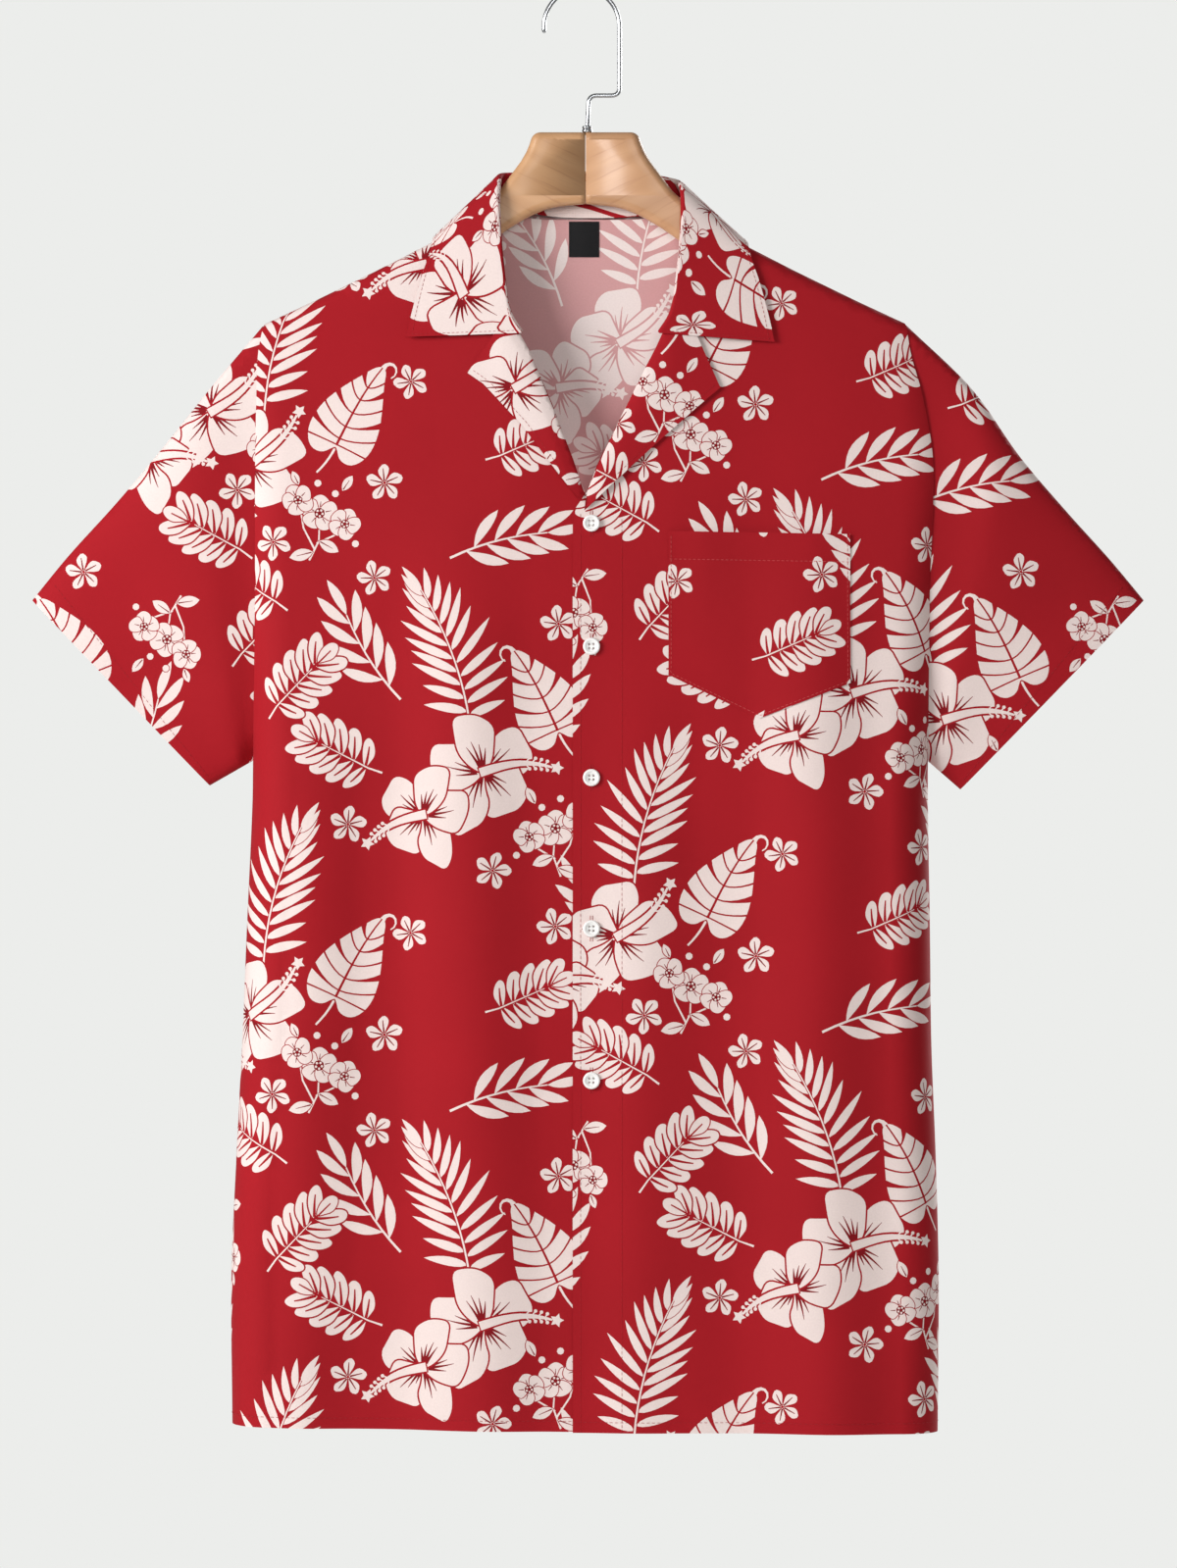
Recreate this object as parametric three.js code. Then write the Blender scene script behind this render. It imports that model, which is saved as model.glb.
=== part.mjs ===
// A short-sleeved camp-collar shirt on a wooden hanger with a wire hook.
// Millimetres, +Z up, the front faces -Y. The origin is the inside top of the hook, where a rod holds it.
import * as THREE from "three";

// Cloth walls and the clearance between pieces
const WALL = 1.2;
const GAP = 0.3;
const SEAM = 0.5; // between the edges of two curved panels

// Middle of the shoulders, and the half depths of the hanging body
const MIDDLE = 2.4;
const RIDGE = 7.5; // round of the cloth over the hanger's upper edge
const FULL = 25; // half depth of the body at the chest and below
const FILL_DROP = 300; // drop below the shoulder over which the body fills out
const SIDE = 25; // width of the round at each side

const SHOULDER_OUT = 195;
const UNDERARM_Z = -470.7;
const HEM_Z = { left: -876, middle: -880, right: -881 };

// Shoulder line: distance out from the middle, and height
const shoulderLine = [
  { out: 0, z: -119.5 },
  { out: 52, z: -119.5 },
  { out: 62, z: -127.8 },
  { out: 72, z: -136.5 },
  { out: 92, z: -153 },
  { out: 128, z: -171.5 },
  { out: 165, z: -189.5 },
  { out: 195, z: -203.5 },
  { out: 240, z: -224 },
];

// Visible edges of the body: armhole seams above the underarm, side seams below it.
// turn is how far the cloth has turned round the side there, in degrees.
const bodyEdge = [
  { z: -881, left: -213.6, right: 217.8, turn: 90 },
  { z: -786, left: -214.2, right: 218.4, turn: 90 },
  { z: -714, left: -211.2, right: 216.6, turn: 90 },
  { z: -642, left: -207.6, right: 213.9, turn: 90 },
  { z: -570, left: -204.6, right: 213, turn: 90 },
  { z: -498, left: -201.4, right: 211.8, turn: 90 },
  { z: -470.7, left: -201, right: 211.8, turn: 90 },
  { z: -455, left: -200.6, right: 211.8, turn: 74 },
  { z: -425, left: -200, right: 211.8, turn: 62 },
  { z: -366, left: -199.2, right: 212.4, turn: 52 },
  { z: -291, left: -199.2, right: 214.6, turn: 45 },
  { z: -250, left: -198.6, right: 208.5, turn: 42 },
  { z: -222, left: -197.6, right: 201, turn: 40 },
  { z: -196, left: -192.6, right: 197.4, turn: 38 },
];

// Plan width of the hem, over which it drops from one side to the other
const HEM_X = { left: -213.6, right: 217.8 };

// Inner edge of each front: its lap, then the roll line of the lapel, then the neck seam
const rightFrontEdge = [
  { z: -881, x: 17.4 },
  { z: -332, x: 17.4 },
  { z: -308, x: 2 },
  { z: -280.5, x: -8 },
  { z: -253.5, x: -18 },
  { z: -216.3, x: -34 },
  { z: -205, x: -44 },
  { z: -196.5, x: -48 },
  { z: -172.5, x: -50.6 },
  { z: -143.7, x: -52.6 },
  { z: -120, x: -53.5 },
];
const leftFrontEdge = [
  { z: -881, x: -5.4 },
  { z: -320, x: -5.4 },
  { z: -307, x: 3.5 },
  { z: -290.7, x: 9.6 },
  { z: -231.3, x: 39 },
  { z: -214, x: 48 },
  { z: -205, x: 55.5 },
  { z: -194.7, x: 59.6 },
  { z: -164, x: 62.2 },
  { z: -147, x: 63.5 },
  { z: -120, x: 64.3 },
];

// Rows of each front, from the hem up: heights at the inner edge and at the outer edge
const frontRows = [
  { inner: -820, outer: -818 },
  { inner: -760, outer: -758 },
  { inner: -700, outer: -699 },
  { inner: -640, outer: -640 },
  { inner: -580, outer: -580 },
  { inner: -522, outer: -522 },
  { inner: -470, outer: UNDERARM_Z },
  { inner: -430, outer: -457 },
  { inner: -390, outer: -440 },
  { inner: -350, outer: -420 },
  { inner: -321, outer: -398 },
  { inner: -306, outer: -376 },
  { inner: -280, outer: -352 },
  { inner: -253, outer: -328 },
  { inner: -230, outer: -304 },
  { inner: -214, outer: -282 },
  { inner: -204, outer: -262 },
  { inner: -190, outer: -244 },
  { inner: -165, outer: -228 },
];
const RIDGE_TURNS = [0, 30, 60, 90]; // rows over the hanger's upper edge, in degrees

// Soft upright folds down the front: where the ridge lies, half width, height and highest point
const FOLD_FADE = 160; // height over which each fold dies out at its top
const frontFolds = [
  { x: -176, wide: 34, high: 2.2, top: -420 },
  { x: -78, wide: 44, high: 3.0, top: -300 },
  { x: 24, wide: 38, high: 2.4, top: -360 },
  { x: 150, wide: 46, high: 3.2, top: -300 },
];

// Folds of the fuller back
const BACK_FOLD = { wave: 74, half: 8, top: -215, full: -400, flatFrom: 168, flatBy: 194 };

// Back neck seam: its lowest point, and the steps by which it turns round the hanger's edge at each side
const BACK_NECK_Z = -139.5;
const NECK_OUT = { left: 56.4, right: 62.4 };
const neckSteps = [
  { inward: 0, turn: 90 },
  { inward: 1, turn: 60 },
  { inward: 2, turn: 30 },
  { inward: 3.5, turn: 0 },
];

// A smooth value from a table: by is the column looked up, of the column wanted
function smooth(rows, by, of, value) {
  const up = rows[rows.length - 1][by] > rows[0][by] ? 1 : -1;
  let i = 0;
  while (i < rows.length - 2 && (value - rows[i + 1][by]) * up > 0) i += 1;
  const slope = (k) => {
    const low = rows[Math.max(0, k - 1)];
    const high = rows[Math.min(rows.length - 1, k + 1)];
    return (high[of] - low[of]) / (high[by] - low[by]);
  };
  const a = rows[i];
  const b = rows[i + 1];
  const span = b[by] - a[by];
  const t = Math.min(1, Math.max(0, (value - a[by]) / span));
  const t2 = t * t;
  const t3 = t2 * t;
  return (
    (2 * t3 - 3 * t2 + 1) * a[of] +
    (t3 - 2 * t2 + t) * span * slope(i) +
    (3 * t2 - 2 * t3) * b[of] +
    (t3 - t2) * span * slope(i + 1)
  );
}

// The same, in straight lines, for edges with corners
function straight(rows, by, of, value) {
  const up = rows[rows.length - 1][by] > rows[0][by] ? 1 : -1;
  let i = 0;
  while (i < rows.length - 2 && (value - rows[i + 1][by]) * up > 0) i += 1;
  const t = (value - rows[i][by]) / (rows[i + 1][by] - rows[i][by]);
  return THREE.MathUtils.lerp(rows[i][of], rows[i + 1][of], Math.min(1, Math.max(0, t)));
}

const radians = THREE.MathUtils.degToRad;
const lerp = THREE.MathUtils.lerp;
const ease = (value, low, high) => THREE.MathUtils.smoothstep(value, low, high);
const ridgeZ = (x) => straight(shoulderLine, "out", "z", Math.abs(x - MIDDLE));

// Half depth of the body at a place, before the sides turn round
function halfDepth(x, z, lift = 0) {
  const above = z - (ridgeZ(x) - RIDGE);
  if (above > 0) {
    const round = RIDGE + lift;
    return Math.sqrt(Math.max(0, round * round - above * above));
  }
  const filled = Math.sin((Math.PI / 2) * Math.min(1, -above / FILL_DROP));
  return RIDGE + (FULL - RIDGE) * filled + lift;
}

// How far the front's soft folds lift the cloth
function frontFold(x, z) {
  let high = 0;
  for (const fold of frontFolds) {
    const across = Math.cos((Math.PI / 2) * Math.min(1, Math.abs(x - fold.x) / fold.wide));
    high += fold.high * across * across * (1 - ease(z, fold.top - FOLD_FADE, fold.top));
  }
  return high;
}

// How far the back's folds draw the cloth in
function backFold(x, z) {
  const wave = (1 - Math.cos((2 * Math.PI * (x - MIDDLE)) / BACK_FOLD.wave)) / 2;
  const down = 1 - ease(z, BACK_FOLD.full, BACK_FOLD.top);
  const inside = 1 - ease(Math.abs(x - MIDDLE), BACK_FOLD.flatFrom, BACK_FOLD.flatBy);
  return 2 * BACK_FOLD.half * wave * down * inside;
}

// The body's edge at a height: the plan point where the side round starts, and its turn
function edgeAt(side, z) {
  const visible = smooth(bodyEdge, "z", side < 0 ? "left" : "right", z);
  const turn = radians(Math.min(90, smooth(bodyEdge, "z", "turn", z)));
  const widest = visible + side * SIDE * (1 - Math.sin(turn));
  return { start: widest - side * SIDE, turn };
}

// A point of the front (face -1) or back (face 1), part of the way round a side
function bodyPoint(face, side, x, z, turn, lift = 0) {
  const fold = face < 0 ? frontFold(x, z) : -backFold(x, z);
  const depth = halfDepth(x, z, lift) + (z < ridgeZ(x) - RIDGE ? fold : 0);
  return new THREE.Vector3(
    x + side * SIDE * Math.sin(turn),
    face * (SEAM / 2 + depth * Math.cos(turn)),
    z,
  );
}

// A closed wall behind a grid of outer points. ring joins the last column to the first.
function wall(points, { thick = WALL, flip = false, ring = false } = {}) {
  const rows = points.length;
  const columns = points[0].length;
  const steps = ring ? columns : columns - 1;
  const at = (r, c) => points[r][(c + columns) % columns];
  const slope = (point, k, last, closed) => {
    const run = (a, b, c) => point(a).clone().multiplyScalar(3).addScaledVector(point(b), -4).add(point(c));
    if (!closed && k === 0) return run(0, 1, 2).negate();
    if (!closed && k === last) return run(last, last - 1, last - 2);
    return point(k + 1).clone().sub(point(k - 1));
  };
  const outer = [];
  const inner = [];
  for (let r = 0; r < rows; r += 1) {
    for (let c = 0; c < columns; c += 1) {
      const along = slope((k) => at(r, k), c, columns - 1, ring);
      const up = slope((k) => at(k, c), r, rows - 1, false);
      const normal = along.cross(up).normalize();
      outer.push(at(r, c));
      inner.push(at(r, c).clone().addScaledVector(normal, flip ? thick : -thick));
    }
  }
  const positions = [...outer, ...inner].flatMap((p) => [p.x, p.y, p.z]);
  const index = (r, c, layer) => layer * rows * columns + r * columns + (c % columns);
  const faces = [];
  const quad = (a, b, c, d) => faces.push(...(flip ? [a, c, b, a, d, c] : [a, b, c, a, c, d]));
  for (let r = 0; r < rows - 1; r += 1) {
    for (let c = 0; c < steps; c += 1) {
      quad(index(r, c, 0), index(r, c + 1, 0), index(r + 1, c + 1, 0), index(r + 1, c, 0));
      quad(index(r + 1, c, 1), index(r + 1, c + 1, 1), index(r, c + 1, 1), index(r, c, 1));
    }
  }
  const rim = (r1, c1, r2, c2) =>
    quad(index(r2, c2, 0), index(r1, c1, 0), index(r1, c1, 1), index(r2, c2, 1));
  for (let c = 0; c < steps; c += 1) {
    rim(0, c, 0, c + 1);
    rim(rows - 1, c + 1, rows - 1, c);
  }
  if (!ring) {
    for (let r = 0; r < rows - 1; r += 1) {
      rim(r, columns - 1, r + 1, columns - 1);
      rim(r + 1, 0, r, 0);
    }
  }
  const geometry = new THREE.BufferGeometry();
  geometry.setAttribute("position", new THREE.Float32BufferAttribute(positions, 3));
  geometry.setIndex(faces);
  geometry.computeVertexNormals();
  return geometry;
}

// Finishes
const cloth = () => new THREE.MeshStandardMaterial({ color: 0xb22029, roughness: 0.75, metalness: 0 });
const beech = () => new THREE.MeshStandardMaterial({ color: 0xd2a275, roughness: 0.45, metalness: 0 });
const steel = () => new THREE.MeshStandardMaterial({ color: 0xb9bcc0, roughness: 0.2, metalness: 1 });
const plastic = () => new THREE.MeshStandardMaterial({ color: 0xf1eeec, roughness: 0.35, metalness: 0 });
const ribbon = () => new THREE.MeshStandardMaterial({ color: 0x17161a, roughness: 0.6, metalness: 0 });

const shirt = new THREE.Group();

function add(name, geometry, material) {
  const mesh = new THREE.Mesh(geometry, material);
  mesh.name = name;
  shirt.add(mesh);
  return mesh;
}

// Fronts. side is -1 for the wearer's right front and 1 for the left, which laps over it.
const FRONT_FLAT_COLUMNS = 8;
const FRONT_ROUND_COLUMNS = 4;
const UNDER_LAP = { from: -46, full: -8, drop: WALL + GAP, low: -300, high: -272 };
const EDGE_TOP_Z = -120; // where each inner edge meets the shoulder

function frontGrid(side) {
  const edge = side < 0 ? rightFrontEdge : leftFrontEdge;
  const hem = { inner: HEM_Z.middle, outer: side < 0 ? HEM_Z.left : HEM_Z.right };
  const shoulderInner = ridgeZ(straight(edge, "z", "x", EDGE_TOP_Z));
  const shoulderOuter = ridgeZ(MIDDLE + side * SHOULDER_OUT);
  const rows = [hem, ...frontRows].map((row) => ({ ...row, ridge: null }));
  for (const turn of RIDGE_TURNS) {
    rows.push({ inner: shoulderInner - RIDGE, outer: shoulderOuter - RIDGE, ridge: radians(turn) });
  }
  return rows.map((row) => {
    const { start, turn } = edgeAt(side, row.outer);
    const from = straight(edge, "z", "x", row.inner);
    const points = [];
    for (let c = 0; c <= FRONT_FLAT_COLUMNS + FRONT_ROUND_COLUMNS; c += 1) {
      const flat = Math.min(1, c / FRONT_FLAT_COLUMNS);
      const round = turn * Math.max(0, (c - FRONT_FLAT_COLUMNS) / FRONT_ROUND_COLUMNS);
      const x = lerp(from, start, flat);
      const reach = x + side * SIDE * Math.sin(round);
      const end = start + side * SIDE * Math.sin(turn);
      let z = lerp(row.inner, row.outer, (reach - from) / (end - from));
      if (row.ridge !== null) z = ridgeZ(reach) - RIDGE + RIDGE * Math.sin(row.ridge);
      const point = bodyPoint(-1, side, x, z, round);
      if (row.ridge !== null) {
        point.y = -(SEAM / 2 + RIDGE * Math.cos(row.ridge) * Math.cos(round));
      }
      if (side < 0) point.y += UNDER_LAP.drop * ease(x, UNDER_LAP.from, UNDER_LAP.full) * lapDepth(z);
      points.push(point);
    }
    return points;
  });
}

// The under lap lies deeper only below the opening
function lapDepth(z) {
  return 1 - ease(z, UNDER_LAP.low, UNDER_LAP.high);
}

const frontRight = frontGrid(-1);
const frontLeft = frontGrid(1);
add("front_right", wall(frontRight, { flip: true }), cloth());
add("front_left", wall(frontLeft), cloth());

// Back, from its left edge to its right edge
const BACK_LOWER_ROWS = 7;
const BACK_UPPER_ROWS = 8;
const BACK_FOLD_COLUMNS = 12;
const BACK_NECK_COLUMNS = 4;
const NECK_TRIM = 4; // height of the rows along the neck seam

function backTop(x) {
  const out = Math.abs(x - MIDDLE);
  const inward = NECK_OUT[x < MIDDLE ? "left" : "right"] - out;
  const last = neckSteps[neckSteps.length - 1].inward;
  if (inward <= 0) return { z: ridgeZ(x), rise: RIDGE };
  if (inward < last + 0.01) {
    const turn = radians(straight(neckSteps, "inward", "turn", inward));
    const rise = RIDGE * Math.sin(turn);
    return { z: ridgeZ(x) - RIDGE + rise, rise: Math.max(rise, NECK_TRIM + rise / 2) };
  }
  const reach = out + inward - last;
  const side = ridgeZ(MIDDLE + reach) - RIDGE;
  return { z: lerp(BACK_NECK_Z, side, (out / reach) ** 3), rise: NECK_TRIM };
}

function backColumns(side, start) {
  const columns = [];
  const neck = NECK_OUT[side < 0 ? "left" : "right"];
  for (let c = 0.5; c < BACK_NECK_COLUMNS; c += 1) {
    columns.push(MIDDLE + (side * neck * c) / (BACK_NECK_COLUMNS + 0.5));
  }
  for (const step of [...neckSteps].reverse()) columns.push(MIDDLE + side * (neck - step.inward));
  const from = MIDDLE + side * neck;
  for (let c = 1; c <= BACK_FOLD_COLUMNS; c += 1) {
    columns.push(lerp(from, start, c / BACK_FOLD_COLUMNS));
  }
  return columns.map((x) => ({ x, round: 0 }));
}

function backRow(bottomOf, edgeZ, share, ridge) {
  const halves = [-1, 1].map((side) => {
    const { start, turn } = edgeAt(side, edgeZ);
    const columns = backColumns(side, start);
    for (let c = 1; c <= FRONT_ROUND_COLUMNS; c += 1) {
      columns.push({ x: start, round: (turn * c) / FRONT_ROUND_COLUMNS });
    }
    return columns.map(({ x, round }) => {
      const reach = x + side * SIDE * Math.sin(round);
      const top = backTop(reach);
      const below = top.z - top.rise;
      if (ridge === null) return bodyPoint(1, side, x, lerp(bottomOf(reach), below, share), round);
      const z = below + top.rise * Math.sin(ridge);
      const point = bodyPoint(1, side, x, z, round);
      const depth = halfDepth(reach, z);
      point.y = SEAM / 2 + depth * Math.cos(round);
      return point;
    });
  });
  return [...halves[0].reverse(), ...halves[1]];
}

function backGrid() {
  const grid = [];
  const hem = (x) => lerp(HEM_Z.left, HEM_Z.right, (x - HEM_X.left) / (HEM_X.right - HEM_X.left));
  const underarm = () => UNDERARM_Z;
  for (let r = 0; r < BACK_LOWER_ROWS; r += 1) {
    const share = r / BACK_LOWER_ROWS;
    const bottomOf = (x) => lerp(hem(x), UNDERARM_Z, share);
    grid.push(backRow(bottomOf, bottomOf(0), 0, null));
  }
  const outerTop = ridgeZ(MIDDLE + SHOULDER_OUT) - RIDGE;
  for (let r = 0; r < BACK_UPPER_ROWS; r += 1) {
    const share = r / BACK_UPPER_ROWS;
    grid.push(backRow(underarm, lerp(UNDERARM_Z, outerTop, share), share, null));
  }
  for (const turn of RIDGE_TURNS) grid.push(backRow(underarm, outerTop, 1, radians(turn)));
  return grid;
}

add("back", wall(backGrid(), { flip: true }), cloth());

// Sleeves: flattened tubes from the armhole down to the cuff
const sleeveTop = [
  { part: 0.2, left: -226, leftZ: -242, right: 238, rightZ: -243 },
  { part: 0.42, left: -258, leftZ: -282, right: 268, rightZ: -285 },
  { part: 0.62, left: -285, leftZ: -314, right: 296, rightZ: -318 },
  { part: 0.82, left: -314, leftZ: -346, right: 323, rightZ: -348 },
  { part: 1, left: -336, leftZ: -373, right: 343.8, rightZ: -373 },
];
const cuffLow = { left: -227.4, leftZ: -486.3, right: 231.6, rightZ: -488.7 };
const sleeveDepth = [
  { part: 0, half: 12 },
  { part: 0.3, half: 14 },
  { part: 0.7, half: 11 },
  { part: 1, half: 10 },
];
const SLEEVE_SECTIONS = 9;
const SLEEVE_HALF_COLUMNS = 13;
const ARMHOLE_CLEAR = 1.1;
const SLEEVE_ROOT = 0.35; // share of its length over which the sleeve leaves the armhole's shape

function sleeveGrid(side) {
  const name = side < 0 ? "left" : "right";
  const roundZ = ridgeZ(MIDDLE + side * SHOULDER_OUT) - RIDGE;
  const edgeX = (z) => smooth(bodyEdge, "z", name, Math.min(z, roundZ)) + side * ARMHOLE_CLEAR;
  const shoulderZ = ridgeZ(edgeX(roundZ) - side * ARMHOLE_CLEAR);
  const topRows = [{ part: 0, [name]: edgeX(roundZ), [`${name}Z`]: shoulderZ }, ...sleeveTop];
  const grid = [];
  for (let s = 0; s <= SLEEVE_SECTIONS; s += 1) {
    const part = s / SLEEVE_SECTIONS;
    const top = {
      x: smooth(topRows, "part", name, part),
      z: smooth(topRows, "part", `${name}Z`, part),
    };
    const low = {
      x: lerp(edgeX(UNDERARM_Z), cuffLow[name], part),
      z: lerp(UNDERARM_Z, cuffLow[`${name}Z`], part),
    };
    const half = smooth(sleeveDepth, "part", "half", part);
    const rooted = 1 - ease(part, 0, SLEEVE_ROOT);
    const ring = [];
    for (let k = 0; k < 2 * SLEEVE_HALF_COLUMNS; k += 1) {
      const down = (1 - Math.cos((Math.PI * k) / SLEEVE_HALF_COLUMNS)) / 2;
      const face = k <= SLEEVE_HALF_COLUMNS ? -1 : 1;
      const rootZ = lerp(shoulderZ, UNDERARM_Z, down);
      const { turn } = edgeAt(side, Math.min(rootZ, roundZ));
      const bend = edgeX(rootZ) - lerp(edgeX(shoulderZ), edgeX(UNDERARM_Z), down);
      const rootHalf = halfDepth(edgeX(rootZ) - side * ARMHOLE_CLEAR, rootZ) * Math.cos(turn);
      const lens = (1 - Math.abs(2 * down - 1) ** 3) ** (1 / 2.4);
      const x = lerp(top.x, low.x, down) + bend * (1 - part) ** 2;
      const z = lerp(top.z, low.z, down);
      const y = face * lerp(half * lens, rootHalf, rooted);
      ring.push(new THREE.Vector3(x, y, z));
    }
    grid.push(ring);
  }
  return grid;
}

add("sleeve_right", wall(sleeveGrid(-1), { ring: true, flip: false }), cloth());
add("sleeve_left", wall(sleeveGrid(1), { ring: true, flip: true }), cloth());

// Lapels: the turned-back tops of the fronts, a row from the roll line to the outer edge
const rightLapelRows = [
  { innerX: 0.6, innerZ: -308.5, outerX: -1, outerZ: -313 },
  { innerX: -5, innerZ: -288, outerX: -15, outerZ: -295.5 },
  { innerX: -15, innerZ: -262, outerX: -36.6, outerZ: -266.7 },
  { innerX: -27, innerZ: -233, outerX: -60, outerZ: -241.5 },
  { innerX: -32, innerZ: -221, outerX: -69.6, outerZ: -234.9 },
  { innerX: -36, innerZ: -214.5, outerX: -50.4, outerZ: -209 },
];
const leftLapelRows = [
  { innerX: 4.2, innerZ: -305.7, outerX: 1.8, outerZ: -318.9 },
  { innerX: 15, innerZ: -280.5, outerX: 18.6, outerZ: -303 },
  { innerX: 27, innerZ: -255.7, outerX: 44, outerZ: -279.4 },
  { innerX: 39, innerZ: -231.3, outerX: 69.6, outerZ: -256.5 },
  { innerX: 45, innerZ: -220, outerX: 84.6, outerZ: -243.9 },
  { innerX: 49, innerZ: -213.5, outerX: 68, outerZ: -209 },
];
const LAPEL_COLUMNS = 6;
const LAPEL_LIFT = 2 * GAP + WALL;

function lapelGrid(side, rows) {
  return rows.map((row) => {
    const points = [];
    for (let c = 0; c <= LAPEL_COLUMNS; c += 1) {
      const x = lerp(row.innerX, row.outerX, c / LAPEL_COLUMNS);
      const z = lerp(row.innerZ, row.outerZ, c / LAPEL_COLUMNS);
      points.push(bodyPoint(-1, side, x, z, 0, LAPEL_LIFT));
    }
    return points;
  });
}

add("lapel_right", wall(lapelGrid(-1, rightLapelRows), { flip: true }), cloth());
add("lapel_left", wall(lapelGrid(1, leftLapelRows)), cloth());

// Collar, from the wearer's right front end round the back: seam, fold and outer edge of each station.
// edgeAlong is the outer edge's distance over the shoulder from the shoulder line.
// The other half mirrors these rows about the middle of the neck, lower by the last column.
const NECK_MIDDLE = 5.4;
const LEAF_LIFT = LAPEL_LIFT + 2 * GAP + WALL;
const FOLD_ROUND = 1.9;
const collarStations = [
  {
    seamX: -38, seamY: -14.6, seamZ: -207, foldX: -35.6, foldY: -18.8, foldZ: -209.7,
    edgeX: -106.8, edgeAlong: 60, lower: 0,
  },
  {
    seamX: -45.6, seamY: -13.4, seamZ: -195, foldX: -43.2, foldY: -17.8, foldZ: -196.5,
    edgeX: -104, edgeAlong: 48, lower: 0,
  },
  {
    seamX: -48.4, seamY: -11.2, seamZ: -171, foldX: -46.8, foldY: -15.8, foldZ: -172.5,
    edgeX: -98, edgeAlong: 28.3, lower: 1,
  },
  {
    seamX: -50.4, seamY: -9.2, seamZ: -147, foldX: -49, foldY: -13.4, foldZ: -147.3,
    edgeX: -93, edgeAlong: 16.5, lower: 3,
  },
  {
    seamX: -51.6, seamY: -8.6, seamZ: -129.5, foldX: -49.8, foldY: -11, foldZ: -125,
    edgeX: -91.5, edgeAlong: 10, lower: 4.5,
  },
  {
    seamX: -52, seamY: -6.6, seamZ: -123.2, foldX: -49.5, foldY: -6.8, foldZ: -116,
    edgeX: -91, edgeAlong: 5, lower: 5,
  },
  {
    seamX: -52.1, seamY: 0, seamZ: -120.9, foldX: -49, foldY: 0, foldZ: -113,
    edgeX: -90.5, edgeAlong: 0, lower: 5,
  },
  {
    seamX: -51.6, seamY: 7.4, seamZ: -123.4, foldX: -48, foldY: 6.8, foldZ: -111.5,
    edgeX: -90, edgeAlong: 7, lower: 5,
  },
  {
    seamX: -47.6, seamY: 8, seamZ: -129.2, foldX: -45, foldY: 11.4, foldZ: -110.5,
    edgeX: -86, edgeAlong: 19, lower: 3.6,
  },
  {
    seamX: -30, seamY: 7.9, seamZ: -135.6, foldX: -28, foldY: 14.4, foldZ: -109.5,
    edgeX: -54, edgeAlong: 43, lower: 1,
  },
  {
    seamX: -8, seamY: 7.9, seamZ: -138.5, foldX: -8, foldY: 15.8, foldZ: -109,
    edgeX: -14, edgeAlong: 44, lower: 0,
  },
];
const LEAF_COLUMNS = 5;

function collarSection(station, side) {
  const across = (x) => (side < 0 ? x : 2 * NECK_MIDDLE - x);
  const lower = side < 0 ? 0 : station.lower;
  const face = Math.sign(station.foldY);
  const round = RIDGE + LEAF_LIFT;
  const edgeX = across(station.edgeX);
  const angle = Math.min(Math.PI / 2, station.edgeAlong / round);
  const straightDown = Math.max(0, station.edgeAlong - (round * Math.PI) / 2);
  const edgeZ = ridgeZ(edgeX) - RIDGE + round * Math.cos(angle) - straightDown;
  const edgeHalf = straightDown > 0 ? halfDepth(edgeX, edgeZ, LEAF_LIFT) : round * Math.sin(angle);
  const seam = new THREE.Vector3(across(station.seamX), station.seamY, station.seamZ - lower);
  const fold = new THREE.Vector3(across(station.foldX), station.foldY, station.foldZ - lower);
  const edge = new THREE.Vector3(edgeX, face * edgeHalf, edgeZ);
  const up = fold.clone().sub(seam.clone().lerp(edge, 0.5)).normalize();
  const outward = edge.clone().sub(seam);
  outward.addScaledVector(up, -outward.dot(up)).normalize();
  const centre = fold.clone().addScaledVector(up, -FOLD_ROUND);
  const turned = (bend) =>
    centre
      .clone()
      .addScaledVector(outward, -Math.cos(bend) * FOLD_ROUND)
      .addScaledVector(up, Math.sin(bend) * FOLD_ROUND);
  const points = [seam];
  for (const bend of [0, 60, 120, 180]) points.push(turned(radians(bend)));
  const last = points[points.length - 1];
  for (let c = 1; c <= LEAF_COLUMNS; c += 1) {
    const point = last.clone().lerp(edge, c / LEAF_COLUMNS);
    const least = halfDepth(point.x, point.z, LEAF_LIFT);
    if (face !== 0) point.y = face * Math.max(Math.abs(point.y), least);
    points.push(point);
  }
  return points;
}

function collarGrid() {
  const right = collarStations.map((station) => collarSection(station, -1));
  const left = collarStations.map((station) => collarSection(station, 1));
  return [...right, ...left.reverse()];
}

add("collar", wall(collarGrid(), { flip: true }), cloth());

// Chest pocket, on the wearer's left front and made from its points
const POCKET = {
  left: 52.8,
  right: 163.4,
  topLeft: -331.5,
  topRight: -333.3,
  low: -419,
  lowRight: -424,
  point: -445.5,
};
const BEND_CLEAR = 0.2; // more room between two layers where the cloth bends
const POCKET_LIFT = 2 * GAP + WALL + BEND_CLEAR;
const POCKET_STEPS = 6;

function pocketGrid() {
  const grid = [];
  for (let r = 0; r <= POCKET_STEPS; r += 1) {
    const row = [];
    for (let c = 0; c <= POCKET_STEPS; c += 1) {
      const across = c / POCKET_STEPS;
      const x = lerp(POCKET.left, POCKET.right, across);
      const top = lerp(POCKET.topLeft, POCKET.topRight, across);
      const corner = lerp(POCKET.low, POCKET.lowRight, across);
      const bottom = lerp(POCKET.point, corner, Math.abs(2 * across - 1));
      row.push(bodyPoint(-1, 1, x, lerp(bottom, top, r / POCKET_STEPS), 0, POCKET_LIFT));
    }
    grid.push(row);
  }
  return grid;
}

add("pocket", wall(pocketGrid()), cloth());

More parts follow.
